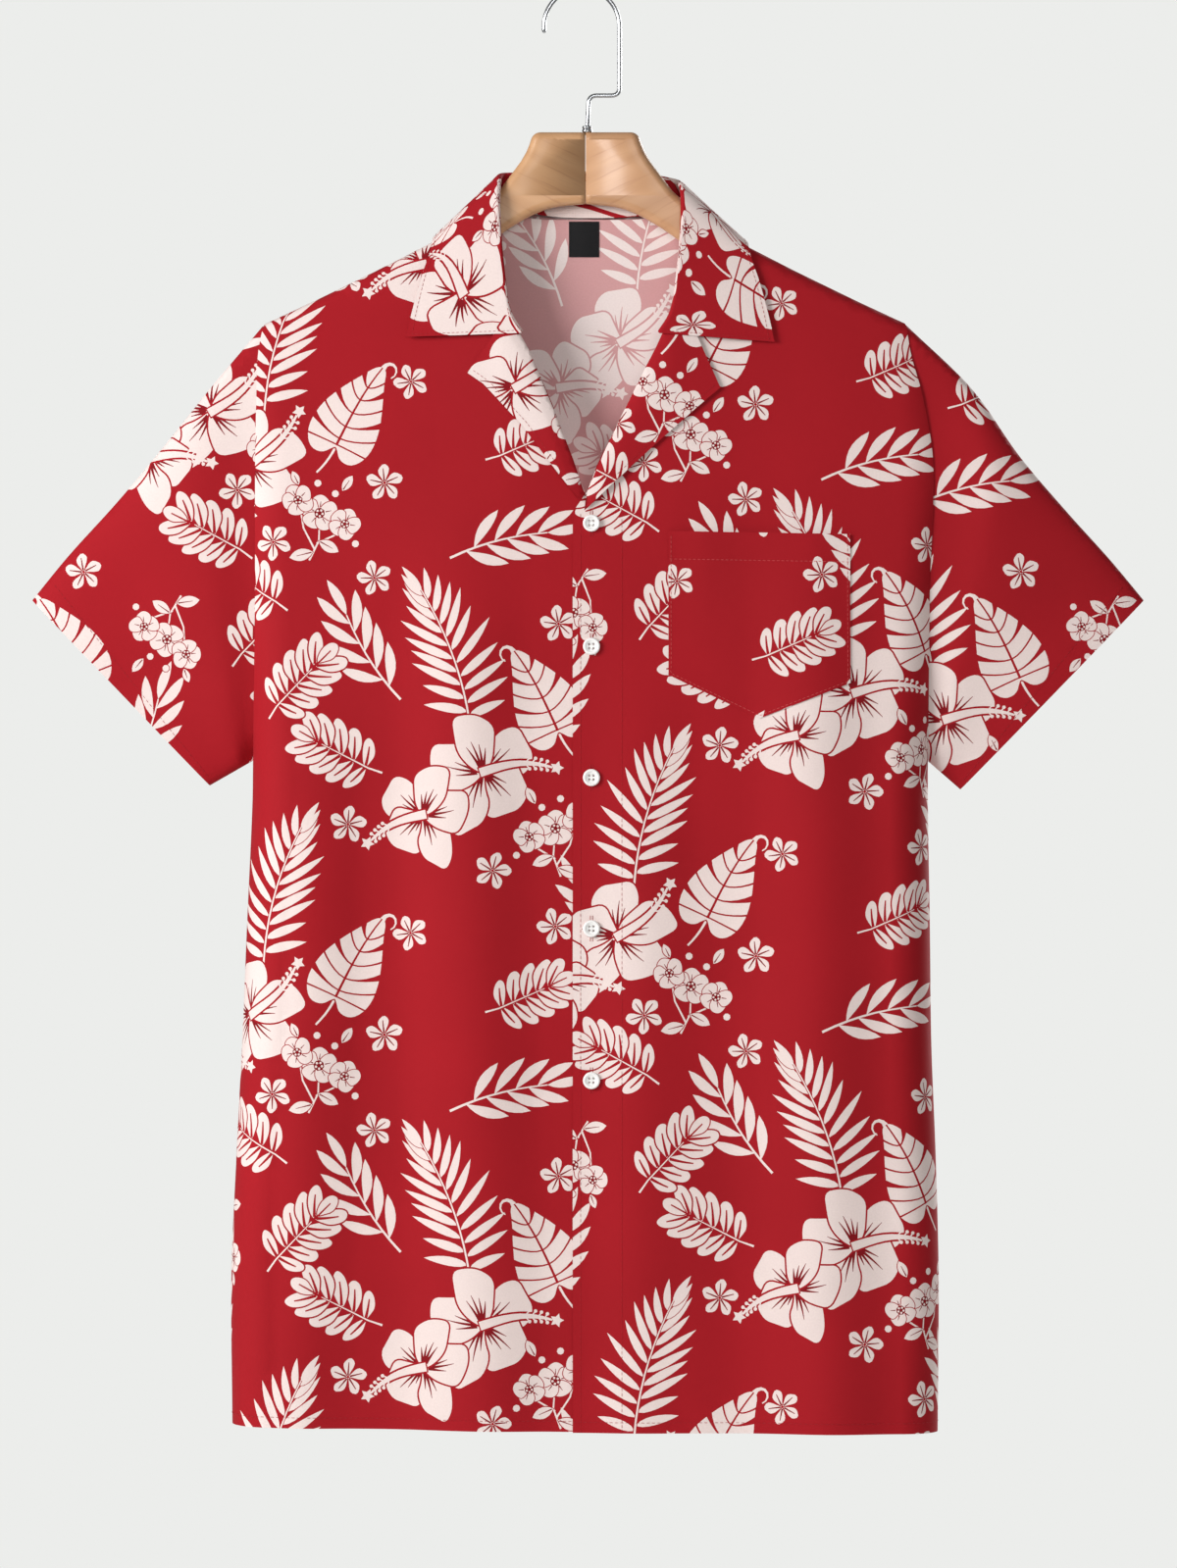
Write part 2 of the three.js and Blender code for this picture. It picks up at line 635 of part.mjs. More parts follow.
// Buttons down the lap, with four holes each
const BUTTON = { radius: 5.25, thick: 2, bevel: 0.4, hole: 0.7, holeOut: 1.25, x: 6, sides: 20, holeSides: 6 };
const BUTTON_Z = [-326.7, -401.7, -481.5, -573.3, -665.7];

function buttonGeometry() {
  const outline = new THREE.Shape();
  outline.absarc(0, 0, BUTTON.radius - BUTTON.bevel, 0, 2 * Math.PI, false);
  for (const [right, up] of [[1, 1], [-1, 1], [-1, -1], [1, -1]]) {
    const hole = new THREE.Path();
    const corners = [];
    for (let k = 0; k < BUTTON.holeSides; k += 1) {
      const angle = (-2 * Math.PI * k) / BUTTON.holeSides;
      const x = right * BUTTON.holeOut + BUTTON.hole * Math.cos(angle);
      const y = up * BUTTON.holeOut + BUTTON.hole * Math.sin(angle);
      corners.push(new THREE.Vector2(x, y));
    }
    hole.setFromPoints(corners);
    hole.closePath();
    outline.holes.push(hole);
  }
  return new THREE.ExtrudeGeometry(outline, {
    depth: BUTTON.thick - 2 * BUTTON.bevel,
    bevelEnabled: true,
    bevelThickness: BUTTON.bevel,
    bevelSize: BUTTON.bevel,
    bevelSegments: 1,
    curveSegments: BUTTON.sides / 2,
  }).translate(0, 0, BUTTON.bevel);
}

// The cloth's foremost point under a button
function clothUnder(x, z) {
  let foremost = 0;
  for (const [dx, dz] of [[0, 0], [1, 0], [-1, 0], [0, 1], [0, -1]]) {
    const point = bodyPoint(-1, 1, x + dx * BUTTON.radius, z + dz * BUTTON.radius, 0);
    foremost = Math.min(foremost, point.y);
  }
  return foremost;
}

BUTTON_Z.forEach((z, i) => {
  const button = add(`button_${i + 1}`, buttonGeometry(), plastic());
  button.rotation.x = Math.PI / 2;
  button.position.set(BUTTON.x, clothUnder(BUTTON.x, z) - GAP, z);
});

// Neck label, on the inside of the back just below the neck seam
const LABEL = { left: -7.8, right: 10.8, top: -140.6, bottom: -162.3, thick: 1 };
const LABEL_STEPS = 3;

function labelGrid() {
  const grid = [];
  for (let r = 0; r <= LABEL_STEPS; r += 1) {
    const row = [];
    for (let c = 0; c <= LABEL_STEPS; c += 1) {
      const x = lerp(LABEL.left, LABEL.right, c / LABEL_STEPS);
      const z = lerp(LABEL.bottom, LABEL.top, r / LABEL_STEPS);
      const back = bodyPoint(1, 1, x, z, 0).y;
      row.push(new THREE.Vector3(x, back - WALL - GAP - LABEL.thick - BEND_CLEAR, z));
    }
    grid.push(row);
  }
  return grid;
}

add("neck_label", wall(labelGrid(), { thick: LABEL.thick }), ribbon());

// Hanger: two wooden halves that meet at a joint in the middle
const WOOD_THICK = 11.5;
const WOOD_ROUND = 5;
const WOOD_CLEAR = 1.3; // from the wood's upper edge to the cloth over it
const CROWN = { z: -86.7, half: 33.6, corner: 2.4 };
const TIP_OUT = 184;
const TIP_INSET = 4; // from the tip's end to the last point of its upper edge
const TIP_DROP = 10; // from the shoulder line to the wood at the tip's end
const WOOD_FROM = 60; // where the wood's upper edge starts to follow the shoulder line
const crownFlank = [
  { out: 33.6, z: -89.1 },
  { out: 39, z: -103.5 },
  { out: 43.8, z: -109.5 },
  { out: 48.5, z: -116.5 },
  { out: 53.2, z: -122.6 },
];
const woodUnder = [
  { out: 0, z: -130.5 },
  { out: 24, z: -134 },
  { out: 48, z: -146.5 },
  { out: 92, z: -179 },
  { out: 140, z: -203 },
  { out: 176, z: -219 },
];

function hangerHalf(side) {
  const joint = GAP / 2;
  const outline = new THREE.Shape();
  const upper = [];
  for (const { out, z } of shoulderLine) {
    if (out > WOOD_FROM && out < TIP_OUT) upper.push({ out, z: z - WALL - WOOD_CLEAR });
  }
  const last = TIP_OUT - TIP_INSET;
  upper.push({ out: last, z: ridgeZ(MIDDLE + last) - WALL - WOOD_CLEAR });
  const top = [{ out: joint, z: CROWN.z }, { out: CROWN.half - CROWN.corner, z: CROWN.z }, ...crownFlank, ...upper];
  const tip = { out: TIP_OUT, z: ridgeZ(MIDDLE + TIP_OUT) - TIP_DROP };
  const bottom = [...woodUnder].reverse();
  bottom[bottom.length - 1] = { out: joint, z: bottom[bottom.length - 1].z };
  const ring = [...top, tip, ...bottom].map((p) => new THREE.Vector2(side * p.out, p.z));
  outline.setFromPoints(side > 0 ? ring.reverse() : ring);
  const geometry = new THREE.ExtrudeGeometry(outline, {
    depth: WOOD_THICK - 2 * WOOD_ROUND,
    bevelEnabled: true,
    bevelThickness: WOOD_ROUND,
    bevelSize: WOOD_ROUND,
    bevelOffset: -WOOD_ROUND,
    bevelSegments: 2,
  });
  geometry.translate(0, 0, WOOD_ROUND - WOOD_THICK / 2);
  return geometry.rotateX(Math.PI / 2);
}

for (const [name, side] of [["hanger_right", -1], ["hanger_left", 1]]) {
  const half = add(name, hangerHalf(side), beech());
  half.position.x = MIDDLE;
}

// Hook: one bent wire, from the crown up to its open end
const WIRE = 1.35;
const HOOK = { radius: 23.1, bendZ: -64.2, bend: 5, foot: 3.4, knee: 4.2, arc: 187 };
const HOOK_CENTRE_Z = WIRE - HOOK.radius;
const WIRE_SIDES = 8;
const HOOK_STEPS = 56;
const ARC_POINTS = 13;

function hookRoute() {
  const point = (x, z) => new THREE.Vector3(x, 0, z);
  const corner = (from, at, to) => new THREE.QuadraticBezierCurve3(from, at, to);
  const route = new THREE.CurvePath();
  const foot = point(HOOK.foot, CROWN.z + GAP);
  const kneeLow = point(HOOK.knee, HOOK.bendZ - HOOK.bend);
  const kneeHigh = point(HOOK.knee + HOOK.bend, HOOK.bendZ);
  const elbowLow = point(HOOK.radius - HOOK.bend, HOOK.bendZ);
  const elbowHigh = point(HOOK.radius, HOOK.bendZ + HOOK.bend);
  route.add(new THREE.LineCurve3(foot, kneeLow));
  route.add(corner(kneeLow, point(HOOK.knee, HOOK.bendZ), kneeHigh));
  route.add(new THREE.LineCurve3(kneeHigh, elbowLow));
  route.add(corner(elbowLow, point(HOOK.radius, HOOK.bendZ), elbowHigh));
  route.add(new THREE.LineCurve3(elbowHigh, point(HOOK.radius, HOOK_CENTRE_Z)));
  const arc = [];
  for (let k = 0; k <= ARC_POINTS; k += 1) {
    const angle = radians((HOOK.arc * k) / ARC_POINTS);
    arc.push(point(HOOK.radius * Math.cos(angle), HOOK_CENTRE_Z + HOOK.radius * Math.sin(angle)));
  }
  route.add(new THREE.CatmullRomCurve3(arc));
  return new THREE.CatmullRomCurve3(route.getSpacedPoints(HOOK_STEPS));
}

const wireSection = new THREE.Shape();
wireSection.setFromPoints(
  [...Array(WIRE_SIDES).keys()].map((k) => {
    const angle = (2 * Math.PI * k) / WIRE_SIDES;
    return new THREE.Vector2(WIRE * Math.cos(angle), WIRE * Math.sin(angle));
  }),
);
const hookGeometry = new THREE.ExtrudeGeometry(wireSection, {
  steps: HOOK_STEPS,
  bevelEnabled: false,
  extrudePath: hookRoute(),
});
add("hook", hookGeometry, steel());

// Nut round the foot of the hook, on the crown
const NUT = { outer: 3.1, inner: 1.75, high: 3.6, sides: 12 };
const nutLow = CROWN.z + GAP;
const nutGeometry = new THREE.LatheGeometry(
  [
    new THREE.Vector2(NUT.inner, nutLow),
    new THREE.Vector2(NUT.outer, nutLow),
    new THREE.Vector2(NUT.outer, nutLow + NUT.high),
    new THREE.Vector2(NUT.inner, nutLow + NUT.high),
    new THREE.Vector2(NUT.inner, nutLow),
  ],
  NUT.sides,
).rotateX(Math.PI / 2);
const nut = add("hook_nut", nutGeometry, steel());
nut.position.x = HOOK.foot;

export default shirt;
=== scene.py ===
"""A short-sleeved camp-collar shirt with a flower print, hanging on a wooden hanger.

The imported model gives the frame. Lengths are in millimetres until a mesh is made, and in metres after that.
Every cloth piece is cut flat with its print, then hung on the same surface as the solid that it replaces.
"""

import math

import bpy
import numpy as np
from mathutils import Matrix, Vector, geometry


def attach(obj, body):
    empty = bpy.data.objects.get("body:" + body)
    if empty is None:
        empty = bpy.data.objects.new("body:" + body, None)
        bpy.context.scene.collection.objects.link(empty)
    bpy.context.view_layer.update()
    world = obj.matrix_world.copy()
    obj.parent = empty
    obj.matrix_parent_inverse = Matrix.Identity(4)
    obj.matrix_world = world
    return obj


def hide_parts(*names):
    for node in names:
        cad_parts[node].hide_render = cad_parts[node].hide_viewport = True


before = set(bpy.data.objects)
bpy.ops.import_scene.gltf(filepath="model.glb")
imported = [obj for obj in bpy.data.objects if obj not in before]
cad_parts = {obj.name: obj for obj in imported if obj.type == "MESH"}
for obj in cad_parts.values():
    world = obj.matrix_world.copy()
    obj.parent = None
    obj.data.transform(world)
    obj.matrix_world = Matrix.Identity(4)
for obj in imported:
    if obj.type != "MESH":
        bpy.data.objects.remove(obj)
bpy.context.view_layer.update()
MM = 0.001

# Photograph: its frame at the shirt, the camera's distance and where it looks
PHOTO_HIGH = 0.9594
CAMERA_AWAY = 4.0
CAMERA_X = 0.0042
CAMERA_Z = -0.4854
SENSOR = 36.0

# Body of the shirt as it hangs
MIDDLE = 2.4
RIDGE = 7.5  # round over the hanger's upper edge
FULL = 25.0  # half depth at the chest and below
FILL_DROP = 300.0
SIDE = 25.0  # width of the round at each side
SHOULDER_OUT = 195.0
UNDERARM_Z = -470.7
HEM = {"left": -876.0, "middle": -880.0, "right": -881.0}
HEM_X = (-213.6, 217.8)
CLOTH = 0.5
COLLAR_CLOTH = 0.9


def columns(*rows):
    """The columns of a table as arrays."""
    return np.array(rows, dtype=float).T


# Distance out from the middle, height
SHOULDER_LINE = columns(
    (0, -119.5), (52, -119.5), (62, -127.8), (72, -136.5), (92, -153),
    (128, -171.5), (165, -189.5), (195, -203.5), (240, -224),
)
# Height, left edge, right edge, degrees that the cloth has turned round the side
BODY_EDGE = columns(
    (-881, -213.6, 217.8, 90), (-786, -214.2, 218.4, 90), (-714, -211.2, 216.6, 90),
    (-642, -207.6, 213.9, 90), (-570, -204.6, 213, 90), (-498, -201.4, 211.8, 90),
    (-470.7, -201, 211.8, 90), (-455, -200.6, 211.8, 74), (-425, -200, 211.8, 62),
    (-366, -199.2, 212.4, 52), (-291, -199.2, 214.6, 45), (-250, -198.6, 208.5, 42),
    (-222, -197.6, 201, 40), (-196, -192.6, 197.4, 38),
)
# Height and place of each front's inner edge: the lap, the roll line and the neck seam
RIGHT_FRONT_EDGE = columns(
    (-881, 17.4), (-332, 17.4), (-308, 2), (-280.5, -8), (-253.5, -18), (-216.3, -34),
    (-205, -44), (-196.5, -48), (-172.5, -50.6), (-143.7, -52.6), (-120, -53.5),
)
LEFT_FRONT_EDGE = columns(
    (-881, -5.4), (-320, -5.4), (-307, 3.5), (-290.7, 9.6), (-231.3, 39), (-214, 48),
    (-205, 55.5), (-194.7, 59.6), (-164, 62.2), (-147, 63.5), (-120, 64.3),
)
# Soft upright folds of the front: place at the hem, half width, height, top, and how far the top leans
FRONT_FOLDS = (
    (-172, 36, 5.6, -400, 8), (-118, 30, -2.0, -420, 0), (-62, 46, 6.6, -280, -14), (34, 36, 3.6, -360, 6),
    (94, 32, -2.4, -460, -8), (152, 42, 6.2, -290, -16),
)
FOLD_FADE = 160.0
BACK_FOLD = {"wave": 74.0, "half": 8.0, "top": -215.0, "full": -400.0, "flat_from": 138.0, "flat_by": 174.0}
UNDER_LAP = {"from": -46.0, "full": -8.0, "drop": 1.5, "low": -300.0, "high": -272.0}
BACK_NECK_Z = -139.5
NECK_OUT = {-1: 56.4, 1: 62.4}


def smooth(xs, ys, value):
    """A smooth value from two columns of a table, held at its ends."""
    last = len(xs) - 1
    low = np.maximum(np.arange(last + 1) - 1, 0)
    high = np.minimum(np.arange(last + 1) + 1, last)
    slopes = (ys[high] - ys[low]) / (xs[high] - xs[low])
    i = np.clip(np.searchsorted(xs, value, side="right") - 1, 0, last - 1)
    span = xs[i + 1] - xs[i]
    t = np.clip((value - xs[i]) / span, 0, 1)
    return (
        (2 * t**3 - 3 * t**2 + 1) * ys[i]
        + (t**3 - 2 * t**2 + t) * span * slopes[i]
        + (3 * t**2 - 2 * t**3) * ys[i + 1]
        + (t**3 - t**2) * span * slopes[i + 1]
    )


def ease(value, low, high):
    t = np.clip((value - low) / (high - low), 0, 1)
    return t * t * (3 - 2 * t)


def blend(a, b, share):
    return a + (b - a) * share


def ridge_z(x):
    return np.interp(np.abs(x - MIDDLE), *SHOULDER_LINE)


def front_fold(x, z):
    high = np.zeros_like(x)
    for place, wide, lift, top, lean in FRONT_FOLDS:
        middle = place + lean * (z - HEM["middle"]) / (top - HEM["middle"])
        across = np.cos(np.pi / 2 * np.minimum(1, np.abs(x - middle) / wide))
        high += lift * across**2 * (1 - ease(z, top - FOLD_FADE, top))
    return high


def back_fold(x, z):
    wave = (1 - np.cos(2 * np.pi * (x - MIDDLE) / BACK_FOLD["wave"])) / 2
    down = 1 - ease(z, BACK_FOLD["full"], BACK_FOLD["top"])
    inside = 1 - ease(np.abs(x - MIDDLE), BACK_FOLD["flat_from"], BACK_FOLD["flat_by"])
    return 2 * BACK_FOLD["half"] * wave * down * inside


def crease(x, z):
    """Slight unevenness of worn-in cloth, under a millimetre high."""
    slow = np.sin(0.021 * x + 0.013 * z + 0.7) * np.sin(0.017 * z - 0.009 * x + 1.3)
    quick = np.sin(0.058 * x - 0.031 * z) * np.sin(0.043 * z + 0.012 * x + 2.1)
    return 0.95 * slow + 0.4 * quick


def side_edge(side, z):
    """Where the round of a side starts, and how far it turns."""
    visible = np.where(side < 0, smooth(BODY_EDGE[0], BODY_EDGE[1], z), smooth(BODY_EDGE[0], BODY_EDGE[2], z))
    turn = np.radians(np.minimum(90, smooth(BODY_EDGE[0], BODY_EDGE[3], z)))
    widest = visible + side * SIDE * (1 - np.sin(turn))
    return widest - side * SIDE, turn


def half_depth(x, z, lift=0.0):
    above = np.maximum(0, z - (ridge_z(x) - RIDGE))
    filled = np.sin(np.pi / 2 * np.clip((ridge_z(x) - RIDGE - z) / FILL_DROP, 0, 1))
    over = np.sqrt(np.maximum(0, (RIDGE + lift) ** 2 - above**2))
    return np.where(above > 0, over, RIDGE + (FULL - RIDGE) * filled + lift)


def hang_body(face, s, t, lift=0.0):
    """The front (face -1) or back (face 1): s runs across and round the side, t up and over the shoulder."""
    side = np.where(s < MIDDLE, -1.0, 1.0)
    start, _ = side_edge(side, t)
    turned = np.maximum(0, side * (s - start)) / SIDE
    plan = np.where(turned > 0, start, s)
    x = plan + side * SIDE * np.sin(turned)
    foot = ridge_z(x) - RIDGE
    bend = np.clip((t - foot) / RIDGE, 0, np.pi / 2)
    z = np.minimum(t, foot) + (RIDGE + lift) * np.sin(bend)
    filled = np.sin(np.pi / 2 * np.clip((foot - t) / FILL_DROP, 0, 1))
    fold = front_fold(plan, z) if face < 0 else -back_fold(plan, z)
    loose = ease(foot - t, 0, 30)
    depth = (RIDGE + (FULL - RIDGE) * filled + lift) * np.cos(bend) + loose * (fold + crease(x, z))
    return np.stack([x, face * depth * np.cos(turned), z], axis=-1)


def hang_front(side):
    def place(s, t):
        points = hang_body(-1, s, t)
        if side < 0:
            deep = 1 - ease(t, UNDER_LAP["low"], UNDER_LAP["high"])
            points[..., 1] += UNDER_LAP["drop"] * ease(s, UNDER_LAP["from"], UNDER_LAP["full"]) * deep
        return points

    return place


def hang_back(s, t):
    return hang_body(1, s, t)


def over_shoulder(x):
    """How far up the flat cloth the shoulder seam lies."""
    return ridge_z(x) - RIDGE + RIDGE * np.pi / 2


def sampled(points, step=6.0):
    """A closed outline with a point every few millimetres."""
    out = []
    for a, b in zip(points, points[1:] + points[:1]):
        count = max(1, int(round(math.dist(a, b) / step)))
        out += [(blend(a[0], b[0], k / count), blend(a[1], b[1], k / count)) for k in range(count)]
    return np.array(out)


def side_s(side, t):
    start, turn = side_edge(side, np.float64(t))
    return float(start + side * SIDE * turn)


def armhole(side, face_top):
    """Flat points of a side edge from the hem up to the shoulder seam."""
    hem = HEM["left"] if side < 0 else HEM["right"]
    heights = np.concatenate([np.linspace(hem, UNDERARM_Z, 50), np.linspace(UNDERARM_Z, face_top, 40)[1:]])
    return [(side_s(side, t), float(t)) for t in heights]


def seam_points(side, inner):
    """Flat points along the shoulder seam from the armhole to the neck."""
    outer = MIDDLE + side * SHOULDER_OUT
    reach = np.linspace(side_reach(side), inner, 24)
    return [(flat_x(side, x), float(over_shoulder(x))) for x in reach]


def side_reach(side):
    top = float(ridge_z(MIDDLE + side * SHOULDER_OUT))
    start, turn = side_edge(side, np.float64(top))
    return float(start + side * SIDE * np.sin(turn))


def flat_x(side, x):
    """The flat place across of a point that hangs at x near the top of the armhole."""
    top = float(ridge_z(MIDDLE + side * SHOULDER_OUT))
    start, _ = side_edge(side, np.float64(top))
    over = side * (x - float(start)) / SIDE
    return float(x) if over <= 0 else float(start) + side * SIDE * math.asin(min(1.0, over))


def front_outline(side):
    edge = RIGHT_FRONT_EDGE if side < 0 else LEFT_FRONT_EDGE
    hem = HEM["left"] if side < 0 else HEM["right"]
    rise = armhole(side, float(over_shoulder(side_reach(side))))
    inner_top = float(np.interp(-120, *edge))
    over = seam_points(side, inner_top)[1:]
    neck = [(float(np.interp(z, *edge)), z) for z in (-135, -147, -164, -180, -194.7, -205, -214, -231.3)]
    roll = [(float(x), float(z)) for z, x in zip(*edge) if -320 <= z <= -240][::-1]
    lap = [(float(edge[1][0]), -332.0), (float(edge[1][0]), HEM["middle"])]
    points = rise + over + neck + roll + lap
    corner = (side_s(side, hem), hem)
    return sampled(points if points[0] == corner else [corner] + points)


def back_outline():
    """The back's flat outline: up one side, over the shoulders, round the neck seam and down the other side."""
    left = armhole(-1, float(over_shoulder(side_reach(-1))))
    right = armhole(1, float(over_shoulder(side_reach(1))))
    neck = {side: MIDDLE + side * NECK_OUT[side] for side in (-1, 1)}
    seam = {side: seam_points(side, neck[side])[1:] for side in (-1, 1)}
    dip = []
    for k in range(1, 24):
        x = blend(neck[-1], neck[1], k / 24)
        side = -1 if x < MIDDLE else 1
        out = abs(x - MIDDLE) / NECK_OUT[side]
        corner = float(over_shoulder(neck[side]))
        dip.append((x, float(blend(BACK_NECK_Z, corner, out**6))))
    points = left + seam[-1] + dip + seam[1][::-1] + right[::-1]
    return sampled(points)


# Sleeves: share of the length, then place and height of the upper edge on each side
SLEEVE_TOP = {
    -1: columns((0.2, -226, -242), (0.42, -258, -282), (0.62, -285, -314), (0.82, -314, -346), (1, -336, -373)),
    1: columns((0.2, 238, -243), (0.42, 268, -285), (0.62, 296, -318), (0.82, 323, -348), (1, 343.8, -373)),
}
CUFF_LOW = {-1: (-227.4, -486.3), 1: (231.6, -488.7)}
SLEEVE_HALF = columns((0, 12), (0.3, 14), (0.7, 11), (1, 10))
SLEEVE_ROOT = 0.35
TUCK = 0.8  # how far the sleeve reaches under the body's edge at the armhole
CUFF_HEM = 15.0


class Sleeve:
    """A flattened tube from the armhole to the cuff, with its flat places read off the front view."""

    def __init__(self, side):
        self.side = side
        self.name = 1 if side < 0 else 2
        self.round_z = float(ridge_z(MIDDLE + side * SHOULDER_OUT)) - RIDGE
        edge = self.edge_x(self.round_z)
        self.shoulder_z = float(ridge_z(edge)) - 0.6
        self.top = np.concatenate([[[0.0], [edge], [self.shoulder_z]], SLEEVE_TOP[side]], axis=1)
        shares = np.linspace(0, 1, 11)
        self.trial = np.array([(part, down) for part in shares for down in shares])
        self.trial_places = self.front_view(*self.trial.T)

    def edge_x(self, z):
        z = np.minimum(z, self.round_z)
        return smooth(BODY_EDGE[0], BODY_EDGE[self.name], z) - self.side * TUCK

    def front_view(self, part, down):
        """Place and height of a share of the length and a share of the way down."""
        top_x = smooth(self.top[0], self.top[1], part)
        top_z = smooth(self.top[0], self.top[2], part)
        low_x = blend(self.edge_x(UNDERARM_Z), CUFF_LOW[self.side][0], part)
        low_z = blend(UNDERARM_Z, CUFF_LOW[self.side][1], part)
        root_z = blend(self.shoulder_z, UNDERARM_Z, down)
        bend = self.edge_x(root_z) - blend(self.edge_x(self.shoulder_z), self.edge_x(UNDERARM_Z), down)
        return np.stack([blend(top_x, low_x, down) + bend * (1 - part) ** 2, blend(top_z, low_z, down)], axis=-1)

    def shares(self, s, t):
        """The share of the length and of the way down at places of the front view."""
        places = np.stack([np.ravel(s), np.ravel(t)], axis=-1)
        found = np.empty_like(places)
        for k in range(0, len(places), 2000):
            gaps = places[k : k + 2000, None] - self.trial_places[None]
            found[k : k + 2000] = self.trial[np.argmin((gaps**2).sum(-1), axis=1)]
        for _ in range(6):
            here = self.front_view(*found.T)
            step = np.where(found < 0.5, 1e-4, -1e-4)
            along = (self.front_view(found[:, 0] + step[:, 0], found[:, 1]) - here) / step[:, :1]
            below = (self.front_view(found[:, 0], found[:, 1] + step[:, 1]) - here) / step[:, 1:]
            miss = places - here
            area = along[:, 0] * below[:, 1] - along[:, 1] * below[:, 0]
            area = np.where(np.abs(area) < 1.0, 1.0, area)
            found[:, 0] += (miss[:, 0] * below[:, 1] - miss[:, 1] * below[:, 0]) / area
            found[:, 1] += (along[:, 0] * miss[:, 1] - along[:, 1] * miss[:, 0]) / area
            found = np.clip(found, 0, 1)
        shape = np.shape(s)
        return found[:, 0].reshape(shape), found[:, 1].reshape(shape)

    def hang(self, face, s, t):
        part, down = self.shares(s, t)
        half = smooth(SLEEVE_HALF[0], SLEEVE_HALF[1], part)
        rooted = 1 - ease(part, 0, SLEEVE_ROOT)
        root_z = blend(self.shoulder_z, UNDERARM_Z, down)
        _, turn = side_edge(self.side, np.minimum(root_z, self.round_z))
        root = np.maximum(0, half_depth(self.edge_x(root_z), root_z) * np.cos(turn) - 0.6)
        lens = (1 - np.abs(2 * down - 1) ** 3) ** (1 / 2.4)
        loose = lens * (1 - rooted) * crease(1.4 * s, 1.3 * t)
        depth = np.maximum(0, blend(half * lens, root * np.minimum(1, 4 * lens), rooted) + loose)
        return np.stack([s, face * depth, t], axis=-1)

    def outline(self):
        ends = (np.linspace(0, 1, 45), np.linspace(0, 1, 40))
        down = np.sin(np.pi / 2 * (2 * ends[0] - 1)) / 2 + 0.5
        root = self.front_view(np.zeros(45), down)
        low = self.front_view(ends[1], np.ones(40))
        cuff = self.front_view(np.ones(45), down[::-1])
        top = self.front_view(ends[1][::-1], np.zeros(40))
        return np.concatenate([root[:-1], low[:-1], cuff[:-1], top[:-1]])

    def near_edges(self):
        """Extra flat points beside the upper and lower edges, where the cloth turns sharply."""
        part, down = np.meshgrid(np.linspace(0.02, 0.985, 36), (0.003, 0.01, 0.025, 0.05))
        down = np.concatenate([down, 1 - down])
        return self.front_view(np.concatenate([part, part]).ravel(), down.ravel())


class Sheet:
    """A surface from a grid of points, hung by its flat places across and along."""

    def __init__(self, grid, across=1.0, along=1.0):
        self.grid = np.asarray(grid, dtype=float)
        self.across, self.along = across, along

    def hang(self, s, t):
        rows, cols = self.grid.shape[0] - 1, self.grid.shape[1] - 1
        u = np.clip(s / self.across, 0, 1) * rows
        v = np.clip(t / self.along, 0, 1) * cols
        i = np.minimum(u.astype(int), rows - 1)
        j = np.minimum(v.astype(int), cols - 1)
        a, b = (u - i)[..., None], (v - j)[..., None]
        near = blend(self.grid[i, j], self.grid[i, j + 1], b)
        far = blend(self.grid[i + 1, j], self.grid[i + 1, j + 1], b)
        return blend(near, far, a)


# Lapels: inner and outer points of each row, from the foot of the roll up
RIGHT_LAPEL = columns(
    (1.4, -307.5, -1, -313), (-5, -288, -15, -295.5), (-15, -262, -36.6, -266.7), (-27, -233, -60, -241.5),
    (-32, -221, -69.6, -234.9), (-37, -212, -50.4, -207), (-44, -203, -50.4, -198),
)
LEFT_LAPEL = columns(
    (3.6, -306.6, 1.8, -318.9), (15, -280.5, 18.6, -303), (27, -255.7, 44, -279.4), (39, -231.3, 69.6, -256.5),
    (45, -220, 84.6, -243.9), (49, -211, 68, -207), (56, -203, 64, -198),
)
LAPEL_ROLL = 1.7

NECK_MIDDLE = 5.4
LEAF_LIFT = 3.0
FOLD_ROUND = 1.9
# Collar from the wearer's right front end round to the middle of the back: its seam, its fold, the place of
# its outer edge, how far that lies over the shoulder, and how much lower the same place is on the left
COLLAR = columns(
    (-38, -14.6, -207, -35.6, -18.8, -209.7, -106.8, 60, 0),
    (-45.6, -13.4, -195, -43.2, -17.8, -196.5, -104, 48, 0),
    (-48.4, -11.2, -171, -46.8, -15.8, -172.5, -98, 28.3, 1),
    (-50.4, -9.2, -147, -49, -13.4, -147.3, -93, 16.5, 3),
    (-51.6, -8.6, -129.5, -49.8, -11, -125, -91.5, 10, 4.5),
    (-52, -6.6, -123.2, -49.5, -6.8, -116, -91, 5, 5),
    (-52.1, 0, -120.9, -49, 0, -113, -90.5, 0, 5),
    (-51.6, 7.4, -123.4, -48, 6.8, -111.5, -90, -7, 5),
    (-47.6, 8, -129.2, -45, 11.4, -110.5, -86, -19, 3.6),
    (-30, 7.9, -135.6, -28, 14.4, -109.5, -54, -43, 1),
    (-8, 7.9, -138.5, -8, 15.8, -109, -14, -44, 0),
)


